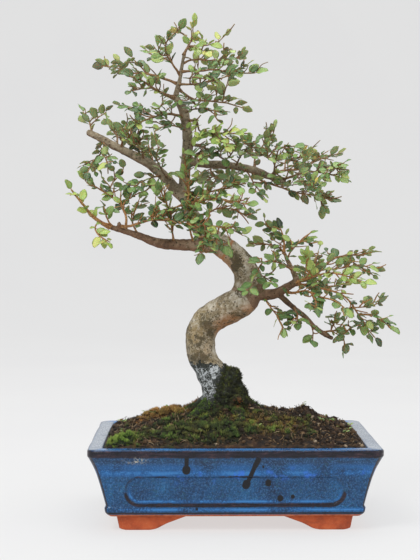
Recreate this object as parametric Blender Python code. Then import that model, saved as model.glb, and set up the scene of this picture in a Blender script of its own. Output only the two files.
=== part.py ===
"""Old small-leaved bonsai in a blue glazed pot, built as separate closed solids.

Metres, +Z up, +X to the right, -Y to the front. The origin is the centre of the footprint on the
surface that the pot stands on. Limbs are drawn on the upright plane through the trunk, in millimetres,
as they are seen from the front eye point, and each has a depth that moves it along its sight line.
"""
import math
import random

import bmesh
import bpy
from mathutils import Matrix, Vector
from mathutils.bvhtree import BVHTree
from mathutils.noise import noise

MM = 0.001
GAP = 0.0003

# Pot
POT_LENGTH = 0.250
POT_WIDTH = 0.185
POT_HEIGHT = 0.0715
POT_CORNER = 0.009
CORNER_STEPS = 2
# Height and inset from the rim's outer edge, in millimetres, from the base's middle outward, up the wall,
# over the rim and down the inside to the floor.
POT_PROFILE = [
    (12.5, 18.0), (14.5, 15.6), (16.5, 14.4), (20.2, 13.9), (21.6, 15.1), (30.0, 13.2),
    (38.5, 11.0), (47.0, 8.5), (55.0, 5.6), (61.0, 2.6), (64.4, 0.9), (65.6, 0.0), (70.3, 0.0),
    (71.5, 1.2), (71.5, 11.6), (70.2, 13.0), (45.0, 17.0), (20.5, 22.5),
]
POT_FLOOR = 0.0205
# Side outline of a foot as distance from the pot's middle and height, in millimetres: the inner end sweeps
# up to the pot's underside, and the top is sunk into it.
FOOT_OUTLINE = [
    (38.0, 16.5), (38.0, 12.8), (57.5, 5.6), (66.0, 1.2),
    (70.0, 0.0), (95.5, 0.0), (98.8, 1.4), (102.0, 16.5),
]
FOOT_DEPTH = 0.024
FOOT_FRONT = 0.072
FOOT_ROUNDING = 0.0015
PANEL_LENGTH_FRONT = 0.184
PANEL_LENGTH_END = 0.122
PANEL_HEIGHT = 0.0240
PANEL_MIDDLE = 0.0352
PANEL_DEPTH = 0.0017
PANEL_WALL_INSET = 0.0118
PANEL_SLOPE = math.radians(14.5)
PANEL_CUTTER_DEPTH = 0.006
PANEL_END_SHARE = 0.46
PANEL_END_STEPS = 3
DRAIN_RADIUS = 0.008
DRAIN_X = 0.055

# Drainage screens
SCREEN_SIZE = 0.028
SCREEN_THICKNESS = 0.0010
SCREEN_HOLES = 2
SCREEN_HOLE = 0.0085

# Soil
SOIL_CLEARANCE = 0.0004
SOIL_SIDE_STEPS = 4
SOIL_RINGS = (0.93, 0.81, 0.66, 0.50, 0.34, 0.17)
MOUND_HEIGHT = 0.0225
MOUND_HALF_LENGTH = 0.118
MOUND_HALF_WIDTH = 0.082
TRUNK_X = -0.007
TRUNK_RISE = 0.0045
TRUNK_RISE_RADIUS = 0.034
# A low hump right of the trunk: height, middle x, reach along x and reach along y
HUMP = (0.0028, 0.064, 0.014, 0.03)
SOIL_ROUGHNESS = 0.0015
SOIL_EDGE_DROP = 0.0016
SOIL_CORNER = 0.006
SOIL_CORNER_GROWTH = 0.03
HOLE_RADIUS = 0.0239
HOLE_FLOOR = 0.0527
CUTTER_TOP = 0.12

# Moss cushions: centre x, centre y, half length, half width, height above the pocket's rim, turn in degrees
MOSS = {
    "moss_front": (-26.0, -58.0, 46.0, 12.0, 4.2, 1.0),
    "moss_corner": (-97.0, -64.0, 12.0, 8.5, 6.5, 12.0),
    "moss_ridge": (-62.0, -4.0, 24.0, 8.0, 5.0, -8.0),
}
MOSS_SIDES = 16
MOSS_DEPTH = 0.0012
MOSS_ROUGHNESS = 0.35
# Share of the cushion's size and of its height, ring by ring from the rim to the top
MOSS_RINGS = ((1.0, 0.0), (0.95, 0.40), (0.72, 0.85), (0.3, 1.0))

# Limbs
EYE = Vector((-34.0, -1221.0, 253.0))
DEPTH_SCALE = 1.2
COLLAR_LENGTH = 2.4
COLLAR_STEP = 0.4
CUT_FROM_BEND = 1.0
# Limbs thicker than a width get a finer round section; thin twigs have four sides.
BEVEL_STEPS = ((3.4, 1), (5.0, 2), (15.0, 4))

# Trunk: x, z, width and depth
TRUNK = [
    (-7, 53, 46, 0), (-7, 96, 46, 0), (-8, 102, 43, 0), (-10, 108, 38.5, 0), (-12, 114, 34.5, 0.5),
    (-15.5, 121, 30.5, 0.5), (-20.5, 129, 27, 1.5), (-25, 136, 25, 2.5), (-28, 144, 25.5, 3.5),
    (-29.3, 152, 26.8, 4.5), (-29, 160, 27.2, 4.5), (-26.5, 168, 27, 4),
    (-20, 176, 26.5, 3), (-10, 182, 27, 1), (0, 187, 28, -1), (9, 193, 28, -3), (13.5, 202, 27.5, -4),
    (14, 212, 25, -4), (10, 222, 22.5, -3), (4, 230, 21.5, -2), (-5, 238, 21, 0), (-15, 245, 19.5, 2),
    (-25, 253, 17.5, 4), (-34, 264, 14.5, 6), (-40, 276, 12.2, 7), (-43, 290, 10.4, 8), (-43.5, 301, 9.8, 8),
    (-42, 315, 9.6, 7), (-40.5, 330, 9.4, 6), (-41.5, 350, 9, 4), (-46, 367, 8.2, 2), (-51, 374, 6.2, 1),
    (-50, 380, 5, 0), (-47.5, 390, 4, -1), (-46, 400, 3.4, -2), (-44, 412, 2.8, -3),
]

# Lumps of the trunk's skin
LUMPS_FROM = 0.100
LUMPS_FADE = 0.01
LUMPS_HEIGHT = 0.0016
LUMPS_SCALE = 70

# Boughs and bare twigs that are one piece with the trunk:
# name, parent, width at the start, width at the tip, depth of the tip, route of (x, z)
WOOD = [
    ("base_burl", "trunk", 30, 16, -2, [(-4, 105), (-3, 116), (-2.5, 129)]),
    ("base_stub", "trunk", 6, 5, -25, [(-4, 103), (7, 103.5)]),
    ("low_left", "trunk", 13, 4.4, -22, [
        (-12, 241), (-20, 241), (-40, 242.5), (-60, 243), (-70, 245), (-80, 249), (-90, 252.5), (-100, 255.5),
        (-110, 258.5)]),
    ("low_left_stub", "low_left", 4.2, 3.6, -25, [(-102, 256), (-102, 262)]),
    ("mid_left", "trunk", 11, 6, 24, [
        (-43, 282), (-52, 292), (-58, 300), (-65, 307), (-72, 313), (-80, 318), (-100, 328), (-110, 333),
        (-120, 338.5), (-130, 343.5)]),
    ("mid_right", "trunk", 8, 6, 10, [
        (-42, 318), (-30, 315.5), (-10, 314), (10, 311.5), (20, 309), (30, 305), (38, 302), (46, 299)]),
    ("mid_right_collar", "mid_right", 6, 9, 10, [(38, 302), (41, 300.8), (46, 298.8)]),
    ("low_right", "trunk", 12, 6.4, -14, [
        (14, 199), (26, 197.5), (38, 198.5), (45, 202), (52, 206), (57, 209)]),
    ("low_right_up", "low_right", 5.6, 3, -4, [
        (57, 209), (57, 212), (55, 217), (52, 223), (49, 229), (46, 236)]),
    ("low_right_down", "low_right", 5.4, 4, 6, [
        (40, 199), (48, 192), (58, 183), (65, 178), (72, 170), (78, 165), (84, 161), (90, 158)]),
    ("crown_hook", "trunk", 2, 1.4, -13, [(-44, 411), (-38, 409), (-34, 405), (-34, 401), (-37, 397)]),
]

# Leafy sprays: node, then its shoots, each with
# name, parent, width at the start, width at the tip, depth of the tip, share of the way where leaves
# start, route
SPRAYS = {
    "spray_low_left_tip": [
        ("a", "low_left", 4.2, 1.6, -34, 0.2, [
            (-110, 258.5), (-117, 262), (-126, 268), (-137, 282), (-145, 292)]),
        ("b", "a", 1.6, 1.2, -42, 0.3, [(-119, 263.3), (-123.5, 259), (-122, 253), (-113, 245)]),
    ],
    "spray_low_left_rise": [
        ("a", "low_left", 2.6, 1.4, 4, 0.35, [
            (-96, 254.3), (-96, 268), (-101, 279), (-108, 285), (-123, 294.5)]),
        ("b", "a", 1.4, 1.2, 16, 0.2, [(-108, 285), (-110, 294), (-103, 304)]),
        ("c", "a", 1.6, 1.2, -6, 0.25, [(-98, 273), (-97, 281), (-85, 288.5), (-76, 292)]),
    ],
    "spray_low_left_leaf": [
        ("a", "low_left", 1.8, 1.2, -38, 0.4, [(-107, 257.7), (-113, 266), (-116, 277)]),
    ],
    "spray_low_left_back": [
        ("a", "low_left", 2.0, 1.2, 22, 0.3, [(-84, 250.5), (-90, 262), (-90, 273), (-82, 279)]),
    ],
    "spray_cross_low": [
        ("a", "low_left_stub", 2.6, 1.4, -42, 0.45, [
            (-101.6, 259), (-92, 259.5), (-75, 264.5), (-60, 264.5), (-40, 261), (-20, 259.5), (0, 256)]),
        ("b", "a", 1.4, 1.2, -28, 0.3, [(-75, 264.5), (-70, 268), (-66, 274)]),
        ("c", "a", 1.3, 1.0, -50, 0.2, [(-24, 260), (-25, 247), (-28, 235)]),
        ("d", "a", 1.3, 1.0, -34, 0.3, [(-12, 258.6), (-14, 248), (-8, 242)]),
    ],
    "spray_cross_high": [
        ("a", "low_left", 2.0, 1.4, -32, 0.55, [
            (-52, 243), (-55, 258), (-57, 273), (-60, 280), (-65, 291)]),
        ("b", "a", 1.6, 1.1, -18, 0.25, [
            (-57.5, 275), (-50, 276.5), (-35, 281), (-20, 290), (-9, 292), (3, 296)]),
        ("c", "b", 1.4, 1.1, -16, 0.35, [(-41, 279.5), (-41, 292), (-42, 314)]),
    ],
    "spray_cross_front": [
        ("a", "low_left", 2.0, 1.1, -66, 0.45, [
            (-34, 242), (-39, 262), (-35, 280), (-15, 283.5), (12, 279)]),
    ],
    "spray_cross_back": [
        ("a", "trunk", 2.2, 1.1, 30, 0.4, [(-36, 268), (-25, 270), (-14, 275), (2, 274), (12, 268)]),
    ],
    "spray_mid_left_up": [
        ("a", "mid_left", 2.0, 1.2, -4, 0.3, [(-100, 328), (-98, 342), (-96, 349), (-88, 354)]),
    ],
    "spray_mid_left_back": [
        ("a", "mid_left", 2.2, 1.2, 52, 0.3, [(-104, 330), (-104, 341), (-109, 348), (-113, 356)]),
        ("b", "a", 1.4, 1.1, 60, 0.3, [(-104, 339), (-95, 336), (-83, 334)]),
    ],
    "spray_mid_left_inner": [
        ("a", "mid_left", 2.0, 1.2, -14, 0.35, [(-80, 318), (-82, 331), (-86, 337), (-90, 346)]),
        ("b", "a", 1.3, 1.1, -26, 0.3, [(-83, 332), (-89, 334), (-95, 338)]),
    ],
    "spray_mid_left_root": [
        ("a", "mid_left", 2.0, 1.1, 44, 0.3, [(-70, 311.5), (-74, 324), (-70, 336)]),
    ],
    "spray_mid_left_under": [
        ("a", "mid_left", 1.8, 1.1, -6, 0.3, [(-115, 335.7), (-117, 326), (-126, 316), (-130, 308)]),
        ("b", "a", 1.2, 1.0, -18, 0.3, [(-118, 325), (-114, 320), (-112, 315)]),
    ],
    "spray_mid_left_tip": [
        ("a", "mid_left", 2.0, 1.1, 44, 0.25, [(-126, 341.5), (-128, 351), (-134, 361)]),
        ("b", "a", 1.3, 1.1, 30, 0.3, [(-127.5, 349), (-121, 356), (-114, 361)]),
    ],
    "spray_mid_left_hang": [
        ("a", "mid_left", 1.8, 1.1, -18, 0.35, [(-62, 304), (-70, 303.5), (-82, 299), (-89, 294)]),
    ],
    "spray_mid_left_front": [
        ("a", "mid_left", 1.8, 1.1, -30, 0.4, [(-58, 300), (-64, 310), (-69, 322), (-66, 330)]),
    ],
    "spray_upper_left": [
        ("a", "trunk", 3.0, 1.3, -32, 0.3, [(-43, 357), (-57, 359.5), (-70, 357), (-86, 351)]),
        ("b", "a", 1.6, 1.1, 12, 0.3, [(-71, 357), (-78, 360), (-90, 364.5), (-100, 366)]),
        ("c", "a", 1.3, 1.1, -36, 0.3, [(-62, 358.6), (-66, 364), (-62, 369)]),
    ],
    "spray_upper_left_low": [
        ("a", "trunk", 1.8, 1.1, -28, 0.35, [(-41.5, 346), (-50, 348.5), (-58, 349), (-66, 347)]),
    ],
    "spray_right_shoulder": [
        ("a", "trunk", 2.8, 1.2, -26, 0.35, [(-40.5, 333), (-30, 331), (-17, 325), (-6, 319.5), (3, 331)]),
        ("b", "a", 1.3, 1.1, -36, 0.2, [(-27, 329.5), (-32, 322), (-30, 316)]),
    ],
    "spray_right_bright": [
        ("a", "trunk", 2.0, 1.1, -44, 0.3, [(-41.5, 354), (-33, 353), (-29, 344), (-15, 340), (-6, 330)]),
        ("b", "a", 1.2, 1.0, -34, 0.3, [(-22, 342), (-12, 343), (1, 342)]),
    ],
    "spray_right_drop": [
        ("a", "mid_right", 1.8, 1.1, -20, 0.35, [(10, 311.5), (16, 303), (19, 297), (24, 291)]),
    ],
    "spray_right_rise": [
        ("a", "mid_right", 2.2, 1.2, 36, 0.3, [(20, 309), (20, 321), (26, 330), (34, 344)]),
        ("b", "a", 1.3, 1.1, 46, 0.3, [(20, 321), (16, 329), (10, 336)]),
    ],
    "spray_right_collar": [
        ("a", "mid_right", 2.0, 1.1, -18, 0.3, [(36, 302.8), (38, 316), (42, 329), (55, 331)]),
        ("b", "a", 1.3, 1.1, -28, 0.3, [(38, 316), (32, 321), (31, 328)]),
    ],
    "spray_right_far": [
        ("a", "mid_right", 2.8, 1.2, 40, 0.25, [(33, 303.9), (45, 309), (60, 310.5), (78, 319), (94, 324)]),
        ("b", "a", 1.5, 1.1, 56, 0.3, [(46, 309), (48, 319), (62, 321), (70, 328)]),
    ],
    "spray_right_low": [
        ("a", "mid_right", 2.6, 1.2, -32, 0.25, [
            (42, 300.5), (56, 304.5), (67, 308), (82, 307), (96, 303)]),
        ("b", "a", 1.4, 1.1, -48, 0.3, [(74, 307.6), (83, 312), (97, 313)]),
        ("c", "a", 1.4, 1.1, -46, 0.25, [(58, 305), (62, 298), (75, 293)]),
    ],
    "spray_right_under": [
        ("a", "mid_right", 2.2, 1.1, 2, 0.4, [
            (14, 310.6), (26, 300), (38, 296), (58, 289), (75, 287), (88, 282)]),
        ("b", "a", 1.3, 1.1, 14, 0.3, [(70, 287.6), (78, 284), (80, 275)]),
    ],
    "spray_right_front": [
        ("a", "mid_right", 1.8, 1.1, -34, 0.3, [(2, 312.5), (6, 320), (12, 328), (20, 335)]),
    ],
    "spray_right_behind": [
        ("a", "mid_right", 2.0, 1.1, 46, 0.3, [(-20, 315), (-19, 306), (-10, 301), (2, 300)]),
        ("b", "a", 1.2, 1.0, 58, 0.2, [(-17, 304), (-24, 300), (-30, 304)]),
    ],
    "spray_low_right_in": [
        ("a", "low_right_up", 1.8, 1.1, 22, 0.3, [(47, 233.7), (40, 241), (30, 243), (20, 242)]),
    ],
    "spray_low_right_out": [
        ("a", "low_right_up", 1.8, 1.1, -32, 0.25, [(49, 229), (53, 238), (60, 244.5), (67, 246)]),
    ],
    "spray_low_right_top": [
        ("a", "low_right_up", 2.4, 1.1, -4, 0.25, [(46, 236), (46, 246), (43, 257)]),
        ("b", "a", 1.2, 1.0, 8, 0.3, [(46, 245), (38, 252), (35, 257)]),
    ],
    "spray_low_right_front": [
        ("a", "low_right_up", 1.8, 1.1, -40, 0.25, [(54, 219), (45, 225), (34, 228), (22, 226)]),
    ],
    "spray_low_right_reach": [
        ("a", "low_right", 2.6, 1.2, -40, 0.3, [
            (44, 201.4), (54, 199), (66, 201), (80, 195), (92, 192), (101, 185)]),
        ("b", "a", 1.2, 1.0, -50, 0.3, [(72, 198.5), (75, 190), (74, 183)]),
    ],
    "spray_low_right_bead": [
        ("a", "low_right_down", 1.6, 1.1, -22, 0.25, [(68, 174.6), (72, 166), (72, 156)]),
    ],
    "spray_low_right_end": [
        ("a", "low_right_down", 1.8, 1.1, 24, 0.3, [(80, 163.6), (92, 165), (99, 161), (101, 153)]),
        ("b", "a", 1.3, 1.1, 34, 0.3, [(88, 164.5), (91, 171), (92, 178)]),
    ],
    "spray_low_right_crown": [
        ("a", "low_right", 3.6, 1.3, 22, 0.3, [
            (55, 207.9), (66, 212), (75, 217), (90, 229.5), (103, 233), (118, 233)]),
        ("b", "a", 1.6, 1.1, 4, 0.3, [(79, 220.3), (95, 221), (112, 224), (127, 221)]),
        ("c", "a", 1.3, 1.1, 34, 0.2, [(76, 218), (74, 227), (77, 236)]),
    ],
    "spray_low_right_lime": [
        ("a", "low_right", 2.4, 1.1, -46, 0.4, [(54, 207.2), (68, 212), (86, 217), (104, 214), (118, 209)]),
        ("b", "a", 1.3, 1.1, -36, 0.3, [(72, 213.2), (66, 221), (68, 230)]),
    ],
    "spray_low_right_back": [
        ("a", "low_right", 2.6, 1.2, 52, 0.3, [(50, 205), (64, 207), (90, 205), (104, 209), (114, 216)]),
        ("b", "a", 1.3, 1.1, 60, 0.3, [(74, 206.2), (68, 214), (60, 218)]),
    ],
    "spray_low_right_fall": [
        ("a", "low_right", 2.4, 1.2, 8, 0.35, [
            (56, 208.3), (74, 204), (93, 200), (105, 192), (113, 180), (122, 166), (128, 159)]),
        ("b", "a", 1.3, 1.1, 26, 0.3, [(109, 186), (118, 186.5), (133, 190)]),
        ("c", "a", 1.3, 1.1, -10, 0.3, [(113, 180), (127, 178), (143, 168)]),
        ("d", "a", 1.3, 1.1, -6, 0.3, [(118.5, 171.5), (108, 168), (100, 162)]),
    ],
    "spray_low_right_hang": [
        ("a", "low_right", 1.6, 1.0, -30, 0.2, [(28, 197.6), (32, 189), (39, 180), (45, 167)]),
    ],
    "spray_low_right_tuft": [
        ("a", "low_right_down", 1.5, 1.1, -28, 0.3, [(54, 186.7), (58, 181), (58, 172)]),
    ],
    "spray_bend_front": [
        ("a", "trunk", 1.8, 1.1, -40, 0.35, [(11, 220), (20, 218), (29, 213), (36, 208)]),
        ("b", "a", 1.2, 1.0, -48, 0.2, [(25, 215.2), (19, 208), (13, 201)]),
    ],
    "spray_crown_left_low": [
        ("a", "trunk", 3.8, 1.3, -22, 0.25, [
            (-50.5, 374), (-60, 376.5), (-71, 382), (-80, 388.5), (-92, 393)]),
        ("b", "a", 1.3, 1.1, -36, 0.3, [(-72, 382.8), (-81, 382), (-92, 380)]),
        ("c", "a", 1.4, 1.1, -28, 0.9, [(-65, 379), (-69, 384), (-67, 392)]),
    ],
    "spray_crown_left": [
        ("a", "trunk", 2.8, 1.2, 30, 0.25, [
            (-49, 386), (-60, 390.5), (-75, 395), (-90, 396), (-102, 400), (-116, 402.5)]),
        ("b", "a", 1.4, 1.1, 14, 0.3, [(-76, 395), (-82, 401), (-90, 409)]),
    ],
    "spray_crown_left_high": [
        ("a", "trunk", 2.2, 1.1, -18, 0.3, [(-46.5, 394), (-54, 404), (-60, 414), (-59, 424), (-48, 435)]),
        ("b", "a", 1.4, 1.1, 6, 0.25, [(-55, 405.7), (-64, 410.5), (-75, 413)]),
        ("c", "a", 1.2, 1.0, -28, 0.3, [(-58, 411), (-65, 413), (-67, 420)]),
    ],
    "spray_crown_top": [
        ("a", "trunk", 2.6, 1.1, 6, 0.25, [(-44, 412), (-40, 420), (-36, 427), (-35.5, 433.5)]),
        ("b", "a", 1.4, 1.1, 18, 0.3, [(-39, 422), (-42, 429), (-48, 432)]),
        ("c", "a", 1.4, 1.1, 20, 0.25, [(-40, 420), (-24, 421), (-15, 423), (-7, 430)]),
        ("d", "a", 1.2, 1.0, -14, 0.3, [(-39.6, 420.6), (-32, 418), (-24, 415)]),
    ],
    "spray_crown_right_high": [
        ("a", "trunk", 2.0, 1.1, 30, 0.3, [(-45.5, 404), (-36, 408), (-22, 407.5), (6, 409)]),
    ],
    "spray_crown_right": [
        ("a", "trunk", 2.4, 1.1, -26, 0.3, [(-46.3, 397), (-30, 398), (-15, 399), (0, 396), (20, 396.5)]),
        ("b", "a", 1.2, 1.0, -32, 0.3, [(-15, 399), (-9, 403), (-8, 412)]),
    ],
    "spray_crown_right_low": [
        ("a", "trunk", 2.2, 1.1, -42, 0.3, [(-48.6, 386), (-36, 386), (-22, 388.5), (-2, 394)]),
        ("b", "a", 1.2, 1.0, -34, 0.3, [(-38, 386), (-38, 392), (-33, 397)]),
    ],
    "spray_crown_right_back": [
        ("a", "trunk", 2.6, 1.1, 26, 0.35, [(-49, 383), (-36, 373), (-20, 371), (-6, 369.5), (8, 365)]),
        ("b", "a", 1.3, 1.1, 40, 0.3, [(-14, 370.6), (-15, 379), (-18, 388)]),
        ("c", "a", 1.3, 1.1, 18, 0.3, [(-9, 370), (-7, 380), (-4, 391)]),
        ("d", "a", 1.3, 1.1, 8, 0.3, [(-30, 372), (-29, 384), (-32, 404)]),
    ],
    "spray_crown_right_front": [
        ("a", "trunk", 1.8, 1.1, -30, 0.3, [(-43.5, 361), (-34, 364), (-24, 364), (-14, 362)]),
        ("b", "a", 1.2, 1.0, -34, 0.3, [(-33, 364), (-35, 371), (-42, 374)]),
    ],
}
LIME_NODES = ("spray_low_left_tip", "spray_right_bright", "spray_low_right_lime", "spray_crown_top")

# Leaves, in millimetres and degrees
LEAF_SPACING = 10.8
LEAF_SPACING_SPREAD = (0.75, 1.25)
LEAF_TIP_ROOM = 3.0
LEAF_LENGTH = (10.0, 14.0)
LEAF_WIDTH_SHARE = (0.54, 0.66)
LEAF_KEEL = 0.9
# Share of the length, half width as a share of the width, keel and bend of a blade's two sections
LEAF_SECTIONS = ((0.42, 0.50, 1.0, 0.05), (0.76, 0.37, 0.9, 0.04))
LEAF_SINK = 0.1
LEAF_ANGLE = (38.0, 66.0)
LEAF_TRIES = 7
LEAF_CLEARANCE = 0.5
LEAF_ROOT_ROOM = 2.5
SEED = 11

# Faces that lie in one plane within this angle become one before the last triangles are made.
FLAT_ANGLE = math.radians(0.5)


def clear_scene():
    for item in list(bpy.data.objects):
        bpy.data.objects.remove(item, do_unlink=True)


def make_collection(name):
    collection = bpy.data.collections.new(name)
    bpy.context.scene.collection.children.link(collection)
    return collection


def make_material(name, colour, roughness, metallic=0.0):
    material = bpy.data.materials.new(name)
    material.use_nodes = True
    shader = material.node_tree.nodes["Principled BSDF"]
    shader.inputs["Base Color"].default_value = (*colour, 1.0)
    shader.inputs["Roughness"].default_value = roughness
    shader.inputs["Metallic"].default_value = metallic
    material.diffuse_color = (*colour, 1.0)
    return material


def make_object(name, mesh, collection, material=None):
    item = bpy.data.objects.new(name, mesh)
    collection.objects.link(item)
    if material:
        item.data.materials.clear()
        item.data.materials.append(material)
    return item


def mesh_from_bmesh(name, bm):
    mesh = bpy.data.meshes.new(name)
    bm.to_mesh(mesh)
    bm.free()
    return mesh


def apply_boolean(item, operation, operand, solver="EXACT"):
    """Cut or join item with one object or a whole collection, keep the result and remove the operands."""
    modifier = item.modifiers.new("boolean", "BOOLEAN")
    modifier.operation = operation
    modifier.solver = solver
    if isinstance(operand, bpy.types.Collection):
        modifier.operand_type = "COLLECTION"
        modifier.collection = operand
        used = list(operand.objects)
    else:
        modifier.object = operand
        used = [operand]
    graph = bpy.context.evaluated_depsgraph_get()
    result = bpy.data.meshes.new_from_object(item.evaluated_get(graph))
    old = item.data
    item.modifiers.clear()
    item.data = result
    bpy.data.meshes.remove(old)
    for other in used:
        bpy.data.objects.remove(other, do_unlink=True)


def rounded_ring(length, width, corner, height, side_steps=1):
    """Points round a rounded rectangle, each straight side in a number of steps."""
    corner = min(corner, length * 0.45, width * 0.45)
    centres = [(1, 1, 0), (-1, 1, 90), (-1, -1, 180), (1, -1, 270)]
    corners = []
    for sign_x, sign_y, start in centres:
        middle = Vector((sign_x * (length / 2 - corner), sign_y * (width / 2 - corner), height))
        for step in range(CORNER_STEPS + 1):
            angle = math.radians(start + 90 * step / CORNER_STEPS)
            corners.append(middle + Vector((corner * math.cos(angle), corner * math.sin(angle), 0)))
    ring = []
    for index, point in enumerate(corners):
        ring.append(point)
        if index % (CORNER_STEPS + 1) == CORNER_STEPS:
            following = corners[(index + 1) % len(corners)]
            for step in range(1, side_steps):
                ring.append(point.lerp(following, step / side_steps))
    return ring


def loft(bm, rings):
    """Join rings of equally many points into one skin and close its two ends."""
    rows = [[bm.verts.new(point) for point in ring] for ring in rings]
    count = len(rows[0])
    for lower, upper in zip(rows, rows[1:]):
        for index in range(count):
            following = (index + 1) % count
            bm.faces.new((lower[index], lower[following], upper[following], upper[index]))
    bm.faces.new(list(reversed(rows[0])))
    bm.faces.new(rows[-1])


def pot_ring(inset_mm, height_mm):
    inset = inset_mm * MM
    corner = max(POT_CORNER - inset * 0.35, 0.004)
    return rounded_ring(POT_LENGTH - 2 * inset, POT_WIDTH - 2 * inset, corner, height_mm * MM)


def make_panel_cutter(name, length, turn, reach, collection):
    """A round-ended outline that cuts the shallow panel into one wall."""
    curve = bpy.data.curves.new(name, "CURVE")
    curve.dimensions = "2D"
    curve.fill_mode = "BOTH"
    curve.extrude = PANEL_CUTTER_DEPTH
    radius = PANEL_HEIGHT * PANEL_END_SHARE
    outline = []
    for sign_x, sign_y, start in ((1, 1, 0), (-1, 1, 90), (-1, -1, 180), (1, -1, 270)):
        for step in range(PANEL_END_STEPS + 1):
            angle = math.radians(start + 90 * step / PANEL_END_STEPS)
            outline.append((
                sign_x * (length / 2 - radius) + radius * math.cos(angle),
                sign_y * (PANEL_HEIGHT / 2 - radius) + radius * math.sin(angle),
            ))
    spline = curve.splines.new("POLY")
    spline.points.add(len(outline) - 1)
    for point, (x, y) in zip(spline.points, outline):
        point.co = (x, y, 0, 1)
    spline.use_cyclic_u = True
    holder = bpy.data.objects.new(name, curve)
    collection.objects.link(holder)
    outward = reach - PANEL_WALL_INSET - PANEL_DEPTH + PANEL_CUTTER_DEPTH
    tilt = Matrix.Rotation(math.radians(90) + PANEL_SLOPE, 4, "X")
    spot = Matrix.Translation((0, -outward, PANEL_MIDDLE))
    holder.matrix_world = Matrix.Rotation(turn, 4, "Z") @ spot @ tilt
    return mesh_from_curve(holder, collection)


def mesh_from_curve(holder, collection):
    """Replace a curve object by its closed mesh in world space."""
    bpy.context.view_layer.update()
    graph = bpy.context.evaluated_depsgraph_get()
    mesh = bpy.data.meshes.new_from_object(holder.evaluated_get(graph))
    bm = bmesh.new()
    bm.from_mesh(mesh)
    bmesh.ops.remove_doubles(bm, verts=bm.verts, dist=1e-6)
    bmesh.ops.transform(bm, matrix=holder.matrix_world, verts=bm.verts)
    bm.to_mesh(mesh)
    bm.free()
    item = bpy.data.objects.new(holder.name + "_mesh", mesh)
    collection.objects.link(item)
    item.hide_render = True
    item.display_type = "WIRE"
    bpy.data.objects.remove(holder, do_unlink=True)
    return item


def make_foot(sign_x, sign_y, collection):
    """One foot: its side outline drawn through its depth, with softened edges, sunk into the pot."""
    bm = bmesh.new()
    sides = []
    for y in (FOOT_FRONT - FOOT_DEPTH, FOOT_FRONT):
        sides.append([bm.verts.new((sign_x * x * MM, sign_y * y, z * MM)) for x, z in FOOT_OUTLINE])
    back, front = sides
    for index in range(len(FOOT_OUTLINE)):
        following = (index + 1) % len(FOOT_OUTLINE)
        bm.faces.new((back[index], back[following], front[following], front[index]))
    bm.faces.new(back)
    bm.faces.new(front)
    bmesh.ops.recalc_face_normals(bm, faces=bm.faces)
    rims = [edge for edge in bm.edges if edge.verts[0].co.y == edge.verts[1].co.y]
    bmesh.ops.bevel(bm, geom=rims, offset=FOOT_ROUNDING, segments=1, profile=0.5, affect="EDGES")
    return make_object("foot", mesh_from_bmesh("foot", bm), collection)


def make_cylinder(name, radius, bottom, top, centre, collection, sides=24, squash=1.0, turn=0.0):
    bm = bmesh.new()
    height = top - bottom
    bmesh.ops.create_cone(bm, cap_ends=True, segments=sides, radius1=radius, radius2=radius, depth=height)
    stretch = Matrix.Diagonal((1.0, squash, 1.0, 1.0))
    move = Matrix.Translation((centre[0], centre[1], (top + bottom) / 2)) @ Matrix.Rotation(turn, 4, "Z")
    bmesh.ops.transform(bm, matrix=move @ stretch, verts=bm.verts)
    item = make_object(name, mesh_from_bmesh(name, bm), collection)
    item.hide_render = True
    item.display_type = "WIRE"
    return item


def make_pot(collection, cutters):
    bm = bmesh.new()
    rings = [pot_ring(inset, height) for height, inset in POT_PROFILE]
    loft(bm, rings)
    glaze = make_material("glaze", (0.03, 0.11, 0.30), 0.25)
    pot = make_object("pot", mesh_from_bmesh("pot", bm), collection, glaze)
    feet = [make_foot(sx, sy, cutters) for sx in (-1, 1) for sy in (-1, 1)]
    for foot in feet:
        apply_boolean(pot, "UNION", foot)
    half_width = POT_WIDTH / 2
    half_length = POT_LENGTH / 2
    for turn in (0, 180):
        cutter = make_panel_cutter("panel", PANEL_LENGTH_FRONT, math.radians(turn), half_width, cutters)
        apply_boolean(pot, "DIFFERENCE", cutter)
    for turn in (90, 270):
        cutter = make_panel_cutter("panel", PANEL_LENGTH_END, math.radians(turn), half_length, cutters)
        apply_boolean(pot, "DIFFERENCE", cutter)
    for side in (-1, 1):
        drain = make_cylinder("drain", DRAIN_RADIUS, 0.005, 0.03, (side * DRAIN_X, 0), cutters, sides=16)
        apply_boolean(pot, "DIFFERENCE", drain)
    return pot


def make_screen(side, collection, cutters, material):
    """A square of plastic mesh that keeps the soil off one drain hole."""
    bm = bmesh.new()
    bmesh.ops.create_cube(bm, size=1.0)
    bottom = POT_FLOOR + GAP
    size = Matrix.Diagonal((SCREEN_SIZE, SCREEN_SIZE, SCREEN_THICKNESS, 1.0))
    place_it = Matrix.Translation((side * DRAIN_X, 0, bottom + SCREEN_THICKNESS / 2))
    bmesh.ops.transform(bm, matrix=place_it @ size, verts=bm.verts)
    name = "drain_screen_left" if side < 0 else "drain_screen_right"
    screen = make_object(name, mesh_from_bmesh(name, bm), collection, material)
    pitch = SCREEN_SIZE / (SCREEN_HOLES + 0.6)
    for row in range(SCREEN_HOLES):
        for column in range(SCREEN_HOLES):
            bm = bmesh.new()
            bmesh.ops.create_cube(bm, size=SCREEN_HOLE)
            middle = (SCREEN_HOLES - 1) / 2
            spot = (side * DRAIN_X + (column - middle) * pitch, (row - middle) * pitch, bottom)
            bmesh.ops.translate(bm, vec=spot, verts=bm.verts)
            make_object("screen_hole", mesh_from_bmesh("screen_hole", bm), cutters)
    holes = make_collection("screen_holes")
    for item in list(cutters.objects):
        cutters.objects.unlink(item)
        holes.objects.link(item)
    apply_boolean(screen, "DIFFERENCE", holes)
    bpy.data.collections.remove(holes)
    return screen


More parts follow.
